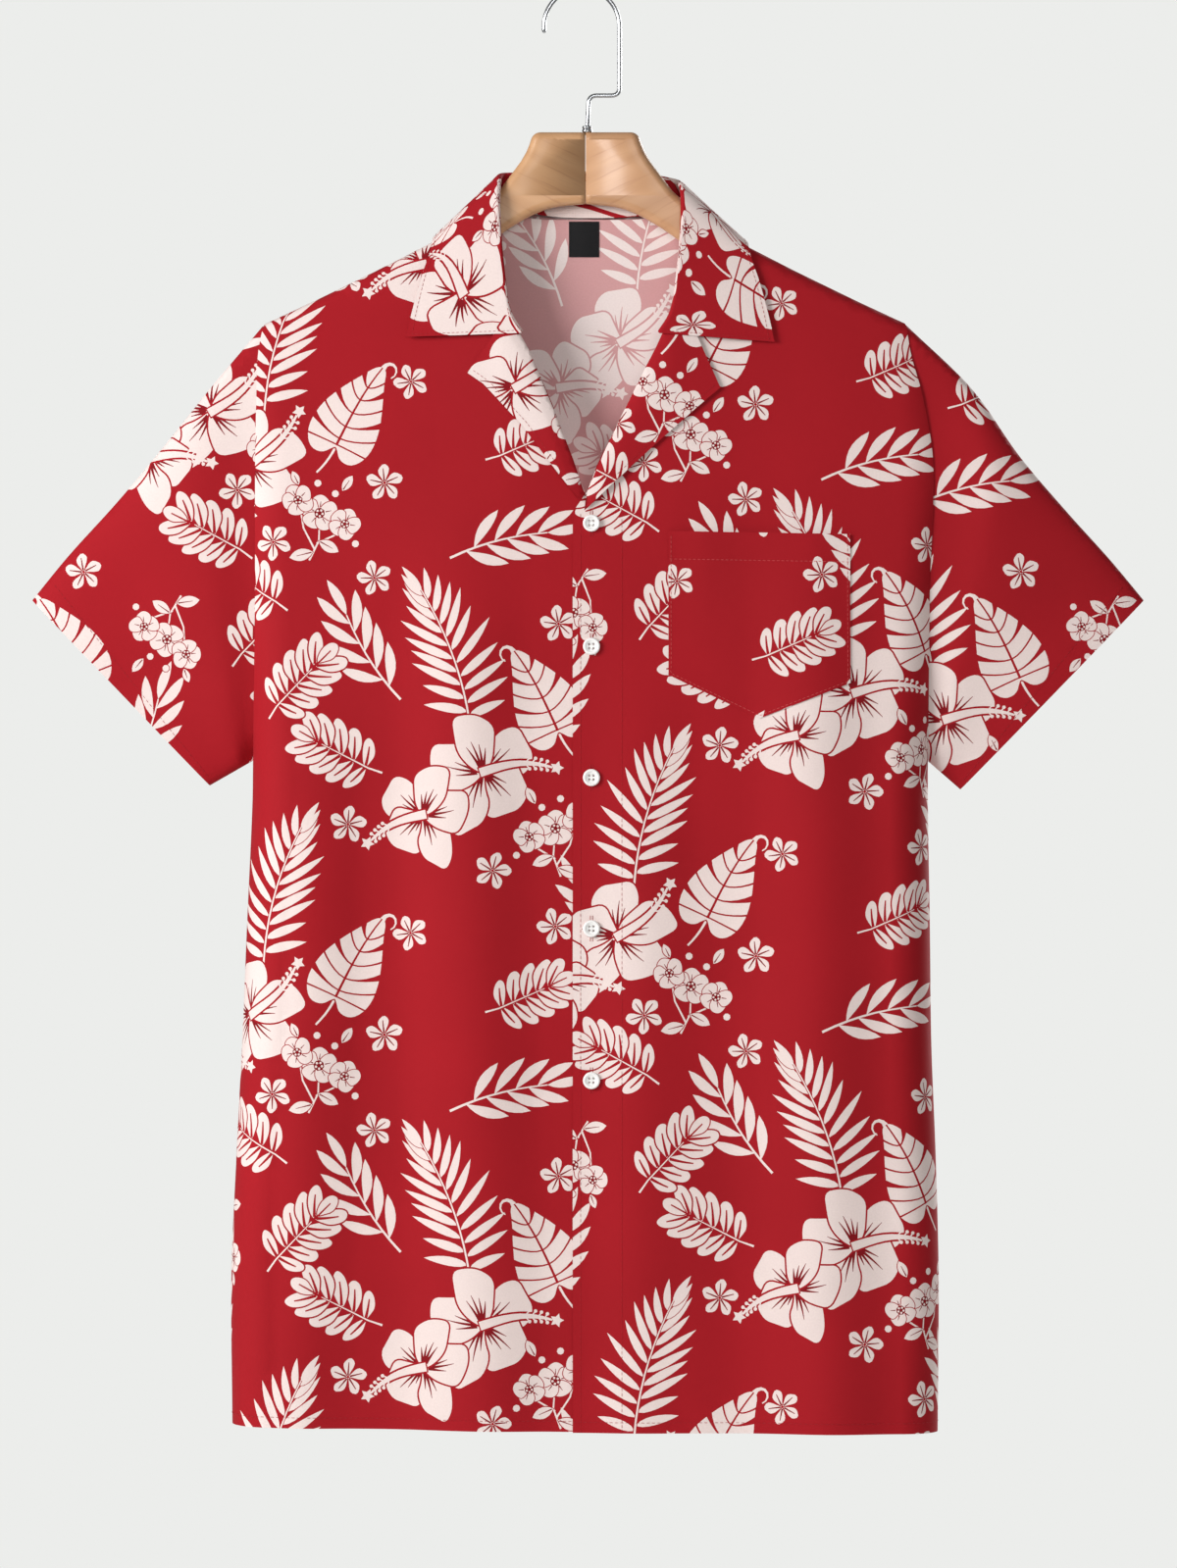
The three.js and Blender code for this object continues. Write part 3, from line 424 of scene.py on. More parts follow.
def collar_section(station, side):
    """Points of the collar from its seam over the fold to its outer edge."""
    last = COLLAR.shape[1] - 1
    k = np.arange(last + 1, dtype=float)
    seam_x, seam_y, seam_z, fold_x, fold_y, fold_z, edge_x, along, lower = (
        float(smooth(k, row, np.float64(station))) for row in COLLAR
    )
    if side > 0:
        seam_x, fold_x, edge_x = (2 * NECK_MIDDLE - x for x in (seam_x, fold_x, edge_x))
        seam_z, fold_z = seam_z - lower, fold_z - lower
    face = 1.0 if along <= 0 else -1.0
    round_ = RIDGE + LEAF_LIFT
    angle = min(math.pi / 2, abs(along) / round_)
    down = max(0.0, abs(along) - round_ * math.pi / 2)
    edge_z = float(ridge_z(edge_x)) - RIDGE + round_ * math.cos(angle) - down
    edge_half = float(half_depth(np.float64(edge_x), np.float64(edge_z), LEAF_LIFT)) if down else round_ * math.sin(angle)
    seam = np.array([seam_x, seam_y, seam_z])
    fold = np.array([fold_x, fold_y, fold_z])
    edge = np.array([edge_x, face * edge_half, edge_z])
    up = fold - (seam + edge) / 2
    up /= np.linalg.norm(up)
    outward = edge - seam
    outward -= up * outward.dot(up)
    outward /= np.linalg.norm(outward)
    centre = fold - up * FOLD_ROUND
    points = [blend(seam, centre - outward * FOLD_ROUND, k / 6) for k in range(6)]
    for bend in np.linspace(0, np.pi, 13):
        points.append(centre - outward * math.cos(bend) * FOLD_ROUND + up * math.sin(bend) * FOLD_ROUND)
    start = points[-1]
    for k in range(1, 31):
        point = blend(start, edge, k / 30)
        least = float(half_depth(np.float64(point[0]), np.float64(point[2]), LEAF_LIFT))
        soft = math.hypot(max(0.0, abs(point[1]) - least), 0.4)
        point[1] = face * max(abs(point[1]), least + soft * 0.25)
        points.append(point)
    return points


def collar_sheet():
    stations = np.linspace(0, COLLAR.shape[1] - 1, 91)
    right = [collar_section(k, -1) for k in stations]
    left = [collar_section(k, 1) for k in stations]
    grid = np.array(right + left[::-1])
    for _ in range(3):
        grid[1:-1] = (grid[:-2] + 2 * grid[1:-1] + grid[2:]) / 4
    return grid


# The print: each motif is a list of (tint, ring) in millimetres, later rings over earlier ones
GROUND, WHITE, VEIN = 0, 1, 2
REPEAT = (268.0, 336.0)


def placed(motif, x=0.0, y=0.0, turn=0.0, size=1.0, flip=1):
    """A motif flipped, sized, turned by degrees and moved."""
    c, s = math.cos(math.radians(turn)) * size, math.sin(math.radians(turn)) * size
    frame_ = np.array([[flip * c, flip * s], [-s, c]])
    return [(tint, ring @ frame_ + (x, y)) for tint, ring in motif]


def grown(ring, by):
    """A ring pushed outwards, for the line of ground colour that parts a shape from what it covers."""
    ahead = np.roll(ring, -1, axis=0) - np.roll(ring, 1, axis=0)
    length = np.maximum(np.linalg.norm(ahead, axis=1, keepdims=True), 1e-6)
    normal = np.stack([ahead[:, 1], -ahead[:, 0]], axis=1) / length
    x, y = ring.T
    turning = np.sign(np.sum(x * np.roll(y, -1) - np.roll(x, -1) * y))
    return ring + normal * by * turning


def ringed(ring, by=1.0):
    return [(GROUND, grown(ring, by)), (WHITE, ring)]


def rounded(points, steps=2):
    """A ring with its corners cut until it looks drawn by hand."""
    ring = np.array(points, dtype=float)
    for _ in range(steps):
        ahead = np.roll(ring, -1, axis=0)
        ring = np.stack([blend(ring, ahead, 0.25), blend(ring, ahead, 0.75)], axis=1).reshape(-1, 2)
    return ring


def line(path, start, end, flare=1.0):
    """A path drawn as a strip whose width goes from one value to another."""
    path = np.array(path, dtype=float)
    ahead = np.gradient(path, axis=0)
    ahead /= np.maximum(np.linalg.norm(ahead, axis=1, keepdims=True), 1e-6)
    half = blend(start, end, np.linspace(0, 1, len(path)) ** flare)[:, None] / 2
    normal = np.stack([-ahead[:, 1], ahead[:, 0]], axis=1) * half
    return np.concatenate([path - normal, (path + normal)[::-1]])


def stem(length, bend, steps=7):
    share = np.linspace(0, 1, steps)
    return np.stack([bend * share**2, length * share], axis=1)


def dot(x, y, radius, points=7):
    angle = 2 * np.pi * np.arange(points) / points
    return np.stack([x + radius * np.cos(angle), y + radius * np.sin(angle)], axis=1)


def leaflet(length, width, bend=0.0, widest=0.45, points=7):
    """A pointed leaflet from the origin upwards, its spine bent to one side."""
    share = np.arange(1, points) / points
    half = width / 2 * np.sin(np.pi * share ** (math.log(0.5) / math.log(widest))) ** 0.8
    spine = bend * share**2
    right = np.stack([spine + half, length * share], axis=1)
    left = np.stack([spine - half, length * share], axis=1)[::-1]
    return np.concatenate([[[0.0, 0.0]], right, [[bend, length]], left])


def petal(length, width, ruffle=0.09, turn=0.0, lean=0.0, corners=9):
    """A petal with a narrow foot and a round, softly ruffled end."""
    around = np.radians(np.linspace(-148, 148, corners))
    wave = 1 + ruffle * np.cos(2.3 * np.arange(corners) + turn)
    x = width / 2 * np.sin(around) * wave * 1.12
    y = length * (0.57 + 0.46 * np.cos(around) * wave)
    x += lean * width * (y / length) ** 2
    return rounded(np.concatenate([[[0.0, -0.04 * length]], np.stack([x, y], axis=1)]))


# Petals of a hibiscus: turn in degrees, length and width as shares of the radius, lean, start of the ruffle
HIBISCUS = (
    (0, 1.00, 0.84, 0.12, 0.4), (70, 0.92, 0.92, -0.08, 2.1), (146, 1.20, 0.66, 0.12, 3.9),
    (214, 0.98, 0.86, -0.14, 5.2), (288, 1.10, 0.70, 0.12, 1.2),
)


def hibiscus(size=62.0, column_turn=20.0, bend=0.16):
    """Five unlike petals with fanned veins, and a long stamen column with dotted hairs."""
    radius = size / 2
    flower = []
    for turn, long, wide, lean, ruffle in HIBISCUS:
        parts = ringed(petal(radius * long, radius * wide, 0.14, ruffle, lean), 1.05)
        for fan, reach in ((-0.9, 0.40), (-0.35, 0.56), (0.15, 0.62), (0.7, 0.46)):
            share = np.linspace(0.1, reach * (1 + 0.1 * math.sin(turn + 3 * fan)), 6)
            path = np.stack([(0.30 * fan + lean * share) * radius * share * 1.5, radius * share], axis=1)
            parts.append((VEIN, line(path, 2.1, 0.3)))
        flower += placed(parts, turn=turn)

    def spine(share):
        return bend * radius * np.sin(2.6 * share), radius * 1.28 * share

    path = np.stack(spine(np.linspace(-0.04, 1, 10)), axis=1)
    column = [(GROUND, grown(line(path[:8], 5.6, 3.0), 1.1)), (WHITE, line(path, 5.4, 1.2, 1.3))]
    for k in range(4):
        x, y = spine(0.62 + 0.095 * k)
        for side in (-1, 1):
            out, up = side * (3.4 - 0.25 * k), 2.2 - 0.4 * k
            column.append((WHITE, line([(x, y - 0.6), (x + out, y + up)], 0.9, 0.8)))
            column.append((WHITE, dot(x + out, y + up, 1.15)))
    x, y = spine(1.03)
    turns = 2 * np.pi * np.arange(10) / 10 + 0.3
    reach = np.where(np.arange(10) % 2 == 0, 4.4, 2.3)
    column.append((WHITE, np.stack([x + reach * np.cos(turns), y + 1.5 + reach * np.sin(turns)], axis=1)))
    return flower + placed(column, turn=column_turn)


def frond(length=84.0, pairs=10, bend=18.0, reach=33.0, width=5.7):
    """A palm frond: slender curved leaflets in pairs along a bent stem."""
    leaves = []
    for k in range(pairs):
        share = 0.06 + 0.88 * k / (pairs - 1)
        lean = math.degrees(math.atan2(2 * bend * share, length))
        for side in (-1, 1):
            at = share + 0.018 * side
            long = reach * math.sin(math.pi * (0.22 + 0.66 * share)) ** 0.8 * (1 + 0.07 * math.sin(3.7 * k + side))
            spread = (76 if side < 0 else 66) - 42 * share + 4 * math.sin(5.0 * k + side)
            blade = leaflet(long, width * (1 - 0.22 * share), side * long * (0.10 - 0.34 * share), 0.42)
            drawn = ringed(blade, 0.45) if share > 0.6 else [(WHITE, blade)]
            leaves += placed(drawn, bend * at**2, length * at, -lean - side * spread)
    tip_turn = -math.degrees(math.atan2(2 * bend, length))
    leaves += placed([(WHITE, leaflet(reach * 0.6, width * 0.8, 2.0, 0.42))], bend, length * 0.98, tip_turn)
    leaves.append((GROUND, line(stem(length, bend, 10), 2.3, 1.5)))
    leaves.append((WHITE, line(stem(length, bend, 10), 1.2, 0.7)))
    leaves.append((WHITE, line([(0, 1), (-0.6, -6), (-1.6, -12)], 1.3, 1.1)))
    return leaves


def spray(length=60.0, pairs=4, bend=-12.0, reach=27.0, width=6.6):
    """An open stem with a few curved leaf pairs and one leaf at its end."""
    leaves = [(WHITE, line(stem(length, bend, 8), 1.5, 0.8))]
    for k in range(pairs):
        share = 0.22 + 0.64 * k / (pairs - 1)
        lean = math.degrees(math.atan2(2 * bend * share, length))
        for side in (-1, 1):
            at = share + 0.045 * side
            blade = leaflet(reach * (1.05 - 0.25 * abs(share - 0.45)), width, side * -5.5, 0.55)
            leaves += placed([(WHITE, blade)], bend * at**2, length * at, -lean - side * (52 - 16 * share))
    end = leaflet(reach * 0.9, width * 0.9, 3.0, 0.5)
    return leaves + placed([(WHITE, end)], bend, length, -math.degrees(math.atan2(2 * bend, length)))


# Half of a heart-based leaf: height as a share of its length, half width as a share of its width
HEART = columns(
    (0.0, 0.02), (-0.12, 0.15), (-0.11, 0.38), (0.08, 0.53), (0.34, 0.50), (0.58, 0.36), (0.80, 0.19), (0.97, 0.07),
)
# Side veins of the leaf: where each leaves the middle line and where it meets the edge
SIDE_VEINS = ((0.03, 0.02), (0.10, 0.24), (0.24, 0.42), (0.40, 0.58), (0.56, 0.73), (0.71, 0.86))


def slit_leaf(length=58.0, width=40.0):
    """A heart-based leaf with slits between its veins, a thin curled tip and a bent stalk."""
    bend = 5.0
    height, half = HEART
    spine = bend * np.maximum(0, height) ** 3
    right = np.stack([spine + half * width, height * length], 1)
    left = np.stack([spine - half * width, height * length], 1)[::-1]
    down = np.linspace(0, 1, 6)
    leaf = [(WHITE, line(np.stack([-3.5 * down**2, -19 * down], 1), 1.5, 1.2))]
    leaf += ringed(rounded(np.concatenate([right, left])), 0.8)
    share = np.linspace(0.02, 0.97, 10)
    leaf.append((GROUND, line(np.stack([bend * share**3, length * share], 1), 1.6, 0.9)))
    for k, (low, high) in enumerate(SIDE_VEINS):
        reach = width * float(np.interp(high, height[3:], half[3:])) + 2.0
        for side in (-1, 1):
            start = np.array([bend * low**3, length * low])
            end = np.array([side * reach + bend * high**3, length * high])
            u = np.linspace(0, 1, 6)[:, None]
            path = start + (end - start) * np.concatenate([u, u**1.7], axis=1)
            slit = k and k % 2 == (0 if side > 0 else 1)
            leaf.append((GROUND, line(path, 0.9, 4.4 if slit else 1.2, 2.5)))
    turn = np.linspace(0, 4.0, 8)
    tail = np.stack([bend + 4.2 * (1 - np.cos(turn)), length - 2.0 + 4.6 * np.sin(turn)], axis=1)
    leaf.append((WHITE, line(tail, 3.4, 0.7, 0.5)))
    return leaf


def lobed_leaf(length=44.0, lobes=5, reach=20.0):
    """A deeply lobed leaf with a line up the middle of each blunt lobe."""
    leaf = []
    for k in range(lobes):
        share = 0.04 + 0.74 * k / (lobes - 1)
        long = reach * (0.66 + 0.44 * math.sin(math.pi * (0.14 + 0.72 * share)))
        for side in (-1, 1):
            finger = petal(long, long * 0.42, 0.07, 2.0 * k + side, side * -0.30, 7)
            u = np.linspace(0.05, 0.72, 6)
            vein = line(np.stack([side * -0.30 * long * 0.42 * u**2, long * u], 1), 1.9, 0.8)
            leaf += placed(ringed(finger, 0.95) + [(GROUND, vein)], 0.0, length * share, -side * (80 - 42 * share))
    end = petal(reach * 0.8, reach * 0.42, 0.07, 1.0, 0.1, 7)
    leaf += placed(ringed(end, 0.7), 0.0, length * 0.84)
    leaf.append((GROUND, line([(0, -1), (0, length * 0.5), (0.6, length * 1.08)], 2.2, 0.8)))
    leaf.append((WHITE, line([(1.8, -9), (0.4, 0), (0, length * 0.72)], 1.3, 0.5)))
    return leaf


def star_flower(size=24.0):
    """A small flower of five plain petals, each with a line down its middle."""
    radius = size / 2
    flower = []
    for k in range(5):
        blade = rounded(leaflet(radius, radius * (0.60 + 0.05 * math.sin(2 * k)), radius * 0.14, 0.66, 4), 1)
        vein = line([(0.0, radius * 0.10), (radius * 0.05, radius * 0.74)], 1.1, 0.5)
        flower += placed(ringed(blade, 0.6) + [(VEIN, vein)], turn=72 * k)
    return flower


def blossom(size=22.0):
    """A small ruffled flower with a dotted middle."""
    radius = size / 2
    flower = []
    for k in range(5):
        leaf = petal(radius, radius * 1.0, 0.10, 1.7 * k, 0.08 * math.sin(k), 7)
        vein = line([(0, radius * 0.34), (0, radius * 0.66)], 0.8, 0.3)
        flower += placed(ringed(leaf, 0.55) + [(VEIN, vein)], turn=72 * k + 8)
    flower.append((VEIN, dot(0, 0, radius * 0.30, 8)))
    for k in range(5):
        a = 2 * math.pi * k / 5
        flower.append((WHITE, dot(radius * 0.17 * math.cos(a), radius * 0.17 * math.sin(a), radius * 0.075, 5)))
    return flower


def sprig():
    """Small blossoms with buds and leaves on one branching stem."""
    twigs = (((0, -26), (3, -12), (0, 2)), ((1.5, -18), (-9, -6), (-15, 8)), ((2, -14), (12, -6), (19, 0)))
    branch = [(WHITE, line(twig, 1.3, 0.9)) for twig in twigs]
    for x, y, turn, size in ((1, -20, 118, 16), (3, -12, -105, 15), (10, 24, -20, 12), (-19, 21, 40, 10)):
        vein = line([(0, 1), (0, size * 0.7)], 0.9, 0.3)
        branch += placed(ringed(leaflet(size, size * 0.5, 0, 0.5), 0.6) + [(VEIN, vein)], x, y, turn)
    for x, y, turn, size in ((-1, 6, 0, 24), (-17, 11, 35, 21), (17, 3, -20, 21)):
        branch += placed(blossom(size), x, y, turn)
    for x, y in ((6, 21), (-7, 25), (27, -8)):
        branch += ringed(dot(x, y, 2.4, 8), 0.6)
    return branch


# One repeat of the print: motif, place, turn, size and flip
LAYOUT = (
    (frond(), 70, 66, -4, 1.0, 1), (spray(), 24, 56, 16, 1.0, 1), (slit_leaf(), 114, 44, -26, 1.0, 1),
    (hibiscus(66, -50), 60, 34, 8, 1.0, 1), (hibiscus(56, 70), 22, 6, -28, 1.0, -1),
    (sprig(), 104, -2, -14, 0.92, 1), (lobed_leaf(), 78, 286, 62, 1.0, -1), (star_flower(), 144, 22, 10, 1.0, 1),
    (star_flower(), 76, 322, 40, 1.0, 1), (frond(), 196, 212, 8, 1.0, -1),
    (spray(), 154, 226, 44, 1.0, -1), (slit_leaf(), 250, 206, 24, 1.0, -1),
    (hibiscus(66, 30), 204, 182, -60, 1.0, -1), (hibiscus(56, 60), 168, 156, 60, 1.0, 1),
    (lobed_leaf(), 134, 184, 62, 1.0, 1), (sprig(), 248, 142, 8, 0.92, -1), (star_flower(), 210, 122, -10, 1.0, 1),
    (star_flower(), 248, 88, 25, 1.0, 1), (lobed_leaf(), 78, 222, -44, 1.0, 1), (spray(), 4, 138, -34, 1.0, 1),
    (star_flower(), 122, 150, 0, 1.0, 1), (sprig(), 34, 236, 160, 0.88, 1), (star_flower(), 160, 84, 30, 0.95, 1),
    (lobed_leaf(), 214, 38, -66, 0.95, -1), (spray(), 184, 312, -64, 1.0, -1), (star_flower(), 250, 272, 15, 1.0, 1),
    (star_flower(), 138, 300, 22, 0.95, 1),
)
PRINT = [placed(*row) for row in LAYOUT]


def printed(low, high, offset, mirrored=False):
    """The print's rings that reach into a stretch of flat cloth."""
    rings = []
    for motif in PRINT:
        points = np.concatenate([ring for _, ring in motif])
        size = np.array(REPEAT)
        first = np.floor((low - offset - points.max(0)) / size).astype(int)
        last = np.ceil((high - offset - points.min(0)) / size).astype(int)
        for i in range(first[0], last[0] + 1):
            for j in range(first[1], last[1] + 1):
                shift = offset + size * (i, j)
                if np.all(points.max(0) + shift > low) and np.all(points.min(0) + shift < high):
                    rings += [(tint, ring + shift) for tint, ring in motif]
    return rings


def inside(points, ring):
    """Which points lie inside a ring."""
    x, y = points.T
    hit = np.zeros(len(points), dtype=bool)
    for (x1, y1), (x2, y2) in zip(ring, np.roll(ring, -1, axis=0)):
        if y1 == y2:
            continue
        crosses = (y1 > y) != (y2 > y)
        hit ^= crosses & (x < (x2 - x1) * (y - y1) / (y2 - y1) + x1)
    return hit


MERGE = 0.02  # flat points closer than this are one
NORMAL_STEP = 0.6
SHARPEST = 0.9  # least agreement between a measured normal and its triangles


def cut(outline, rings, spacing, extra=None):
    """Triangles of a flat piece: its points, its corners and the tint of each triangle."""
    low, high = outline.min(0), outline.max(0)
    grid = np.stack(np.meshgrid(*(np.arange(a + spacing / 2, b, spacing) for a, b in zip(low, high))), -1).reshape(-1, 2)
    loose = [grid[inside(grid, outline)]]
    if extra is not None:
        loose.append(extra)
    points = [outline] + [ring for _, ring in rings] + loose
    edges = []
    start = 0
    for ring in points[: len(rings) + 1]:
        count = len(ring)
        edges += [(start + k, start + (k + 1) % count) for k in range(count)]
        start += count
    flat = [Vector(p) for p in np.concatenate(points).tolist()]
    verts, _, faces, *_ = geometry.delaunay_2d_cdt(flat, edges, [], 0, MERGE)
    verts = np.array([tuple(v) for v in verts])
    corners = np.array(faces)
    a, b, c = (verts[corners[:, k]] for k in range(3))
    turning = (b[:, 0] - a[:, 0]) * (c[:, 1] - a[:, 1]) - (b[:, 1] - a[:, 1]) * (c[:, 0] - a[:, 0])
    corners[turning < 0] = corners[turning < 0][:, ::-1]
    middle = (a + b + c) / 3
    kept = inside(middle, outline)
    corners, middle = corners[kept], middle[kept]
    tints = np.zeros(len(corners), dtype=int)
    order = np.argsort(middle[:, 1])
    x, y = middle[order].T
    for tint, ring in rings:
        (left, low), (right, high) = ring.min(0), ring.max(0)
        first, last = np.searchsorted(y, (low, high))
        near = order[first:last][(x[first:last] >= left) & (x[first:last] <= right)]
        if len(near):
            tints[near[inside(middle[near], ring)]] = tint
    used, corners = np.unique(corners, return_inverse=True)
    return verts[used], corners.reshape(-1, 3), tints


def border(corners):
    """The edges that only one triangle uses, in its own direction."""
    edges = np.concatenate([corners[:, [0, 1]], corners[:, [1, 2]], corners[:, [2, 0]]])
    owners = np.tile(np.arange(len(corners)), 3)
    _, where, counts = np.unique(np.sort(edges, axis=1), axis=0, return_index=True, return_counts=True)
    lone = where[counts == 1]
    return edges[lone], owners[lone]


def loops(edges):
    """Border edges chained into rings of points."""
    ahead = dict(edges.tolist())
    rings = []
    while ahead:
        first, here = ahead.popitem()
        ring = [first]
        while here != first and here in ahead:
            ring.append(here)
            here = ahead.pop(here)
        rings.append(ring)
    return rings


def normals_of(place, flat, out):
    s, t = flat.T
    across = place(s + NORMAL_STEP, t) - place(s - NORMAL_STEP, t)
    along = place(s, t + NORMAL_STEP) - place(s, t - NORMAL_STEP)
    normal = np.cross(across, along)
    length = np.linalg.norm(normal, axis=1, keepdims=True)
    return out * normal / np.maximum(length, 1e-9)


def mended(normals, points, corners):
    """Surface normals, with those of the triangles themselves where the surface is too sharp to measure."""
    a, b, c = (points[corners[:, k]] for k in range(3))
    flat = np.cross(b - a, c - a)
    own = np.zeros_like(points)
    for k in range(3):
        np.add.at(own, corners[:, k], flat)
    own /= np.maximum(np.linalg.norm(own, axis=1, keepdims=True), 1e-9)
    agree = np.einsum("ij,ij->i", own, normals)
    return np.where(agree[:, None] < SHARPEST, own, normals)


def link(obj):
    bpy.context.scene.collection.objects.link(obj)
    return obj


def mesh_object(name, points, faces, material, normals=None, prints=None, flat=None):
    """A mesh in metres from points in millimetres, with its print and flat places by corner."""
    mesh = bpy.data.meshes.new(name)
    mesh.from_pydata((np.asarray(points) * MM).tolist(), [], [tuple(face) for face in faces])
    mesh.update()
    mesh.materials.append(material)
    mesh.polygons.foreach_set("use_smooth", np.ones(len(mesh.polygons), dtype=bool))
    if prints is not None:
        layer = mesh.color_attributes.new("print", "FLOAT_COLOR", "CORNER")
        layer.data.foreach_set("color", np.repeat(prints, 3, axis=0).astype(np.float32).ravel())
    if flat is not None:
        layer = mesh.uv_layers.new(name="flat")
        corners = np.asarray(faces).ravel()
        layer.data.foreach_set("uv", (flat[corners] * MM).astype(np.float32).ravel())
    if normals is not None:
        mesh.normals_split_custom_set_from_vertices(np.asarray(normals).tolist())
    return link(bpy.data.objects.new(name, mesh))


class Piece:
    """A cloth piece: a printed outer face, a wrong side behind it and a rim that closes them."""

    def __init__(self, outline, place, face, offset=(0.0, 0.0), thick=CLOTH, spacing=7.0, extra=None, ghost=None):
        self.place, self.out, self.thick = place, -float(face), thick
        rings = printed(outline.min(0), outline.max(0), np.array(offset, dtype=float))
        self.flat, self.corners, self.tints = cut(outline, rings, spacing, extra)
        self.outline = outline
        if ghost is None:
            self.back_flat, self.back_corners, self.back_tints = self.flat, self.corners, self.tints
        else:
            low, high = (np.array(p, dtype=float) for p in ghost)
            edge, _ = border(self.corners)
            ring = max(loops(edge), key=len)
            shown = [r for r in rings if np.all(r[1].min(0) < high) and np.all(r[1].max(0) > low)]
            self.back_flat, self.back_corners, self.back_tints = cut(self.flat[ring], shown, 8.0, extra)

    def area(self):
        """Area of the cloth as it hangs, in square metres."""
        a, b, c = (self.place(*self.flat[self.corners[:, k]].T) for k in range(3))
        return float(np.linalg.norm(np.cross(b - a, c - a), axis=1).sum() / 2) * MM * MM

    def build(self):
        """Points, triangles, normals, print and flat places of both faces and the rim."""
        outer, inner = self.place(*self.flat.T), self.place(*self.back_flat.T)
        flip = self.out < 0
        front = self.corners[:, ::-1] if flip else self.corners
        back = self.back_corners if flip else self.back_corners[:, ::-1]
        up = mended(normals_of(self.place, self.flat, self.out), outer, front)
        down = mended(normals_of(self.place, self.back_flat, self.out), inner, back[:, ::-1])
        points = np.concatenate([outer, inner - self.thick * down])
        normals = np.concatenate([up, -down])
        edges, owners = border(self.corners)
        known = {tuple(k): i for i, k in enumerate(np.round(self.back_flat * 20).astype(int).tolist())}
        keys = np.round(self.flat * 20).astype(int).tolist()

        def behind(i):
            found = known.get(tuple(keys[i]))
            if found is None:
                found = int(np.argmin(((self.back_flat - self.flat[i]) ** 2).sum(1)))
            return len(self.flat) + found

        rim, rim_tints = [], []
        for (i, j), owner in zip(edges.tolist(), owners.tolist()):
            a, b = behind(i), behind(j)
            rim += [(i, j, b), (i, b, a)] if flip else [(j, i, a), (j, a, b)]
            rim_tints += [self.tints[owner]] * 2
        faces = np.concatenate([front, back + len(self.flat), np.array(rim)])
        tints = np.concatenate([self.tints, self.back_tints, rim_tints])
        wrong = np.concatenate([np.zeros(len(front)), np.ones(len(back)), np.zeros(len(rim))])
        prints = np.stack([tints == WHITE, tints == VEIN, wrong, np.ones(len(tints))], axis=1)
        whole = (faces[:, 0] != faces[:, 1]) & (faces[:, 1] != faces[:, 2]) & (faces[:, 2] != faces[:, 0])
        return points, faces[whole], normals, prints[whole], np.concatenate([self.flat, self.back_flat])


def cloth_piece(name, pieces, material):
    """One object from the cut pieces that make it."""
    points, faces, normals, prints, flat = [], [], [], [], []
    start = 0
    for piece in pieces:
        p, f, n, c, uv = piece.build()
        points.append(p)
        faces.append(f + start)
        normals.append(n)
        prints.append(c)
        flat.append(uv)
        start += len(p)
    made = mesh_object(
        name, np.concatenate(points), np.concatenate(faces), material,
        np.concatenate(normals), np.concatenate(prints), np.concatenate(flat),
    )
    made["cloth_area"] = sum(piece.area() for piece in pieces)
    return made


class Value:
    """A shader socket that ordinary operators turn into Math nodes."""

    def __init__(self, shader, socket):
        self.shader, self.socket = shader, socket

    def maths(self, operation, *values):
        return self.shader.node("ShaderNodeMath", {"operation": operation}, dict(enumerate(values)))

    def __add__(self, other):
        return self.maths("ADD", self, other)

    def __sub__(self, other):
        return self.maths("SUBTRACT", self, other)

    def __rsub__(self, other):
        return self.maths("SUBTRACT", other, self)

    def __mul__(self, other):
        return self.maths("MULTIPLY", self, other)

    def __truediv__(self, other):
        return self.maths("DIVIDE", self, other)

    def __rtruediv__(self, other):
        return self.maths("DIVIDE", other, self)

    def __pow__(self, other):
        return self.maths("POWER", self, other)

    def __abs__(self):
        return self.maths("ABSOLUTE", self)

    __radd__ = __add__
    __rmul__ = __mul__


class Shader:
    """A material with one Principled shader, and the nodes that feed it."""

    def __init__(self, name, **constant):
        self.material = bpy.data.materials.new(name)
        self.material.use_nodes = True
        self.tree = self.material.node_tree
        self.tree.nodes.clear()
        self.surface = self.tree.nodes.new("ShaderNodeBsdfPrincipled")
        output = self.tree.nodes.new("ShaderNodeOutputMaterial")
        self.tree.links.new(self.surface.outputs[0], output.inputs["Surface"])
        for socket, value in constant.items():
            self.surface.inputs[socket.replace("_", " ")].default_value = value

    def put(self, socket, value):
        if isinstance(value, Value):
            self.tree.links.new(value.socket, socket)
        elif value is not None:
            socket.default_value = value

    def node(self, kind, settings=None, inputs=None, out=0):
        """A node by its type, its settings and its inputs; out is the output that is wanted."""
        made = self.tree.nodes.new(kind)
        for key, value in (settings or {}).items():
            if key == "stops":
                for k, (place, colour) in enumerate(value):
                    element = made.color_ramp.elements[k] if k < 2 else made.color_ramp.elements.new(place)
                    element.position, element.color = place, colour
            else:
                setattr(made, key, value)
        for key, value in (inputs or {}).items():
            self.put(made.inputs[key], value)
        return Value(self, made.outputs[out])

    def mix(self, share, a, b):
        return self.node("ShaderNodeMix", {"data_type": "RGBA"}, {0: share, 6: a, 7: b}, 2)

    def feed(self, **sockets):
        for socket, value in sockets.items():
            self.put(self.surface.inputs[socket.replace("_", " ")], value)
        return self.material

    def bump(self, height, strength, distance):
        return self.node("ShaderNodeBump", None, {"Strength": strength, "Distance": distance, "Height": height})

    def noise(self, vector, scale, detail=2.0, rough=0.5):
        return self.node("ShaderNodeTexNoise", None, {"Vector": vector, "Scale": scale, "Detail": detail, "Roughness": rough})


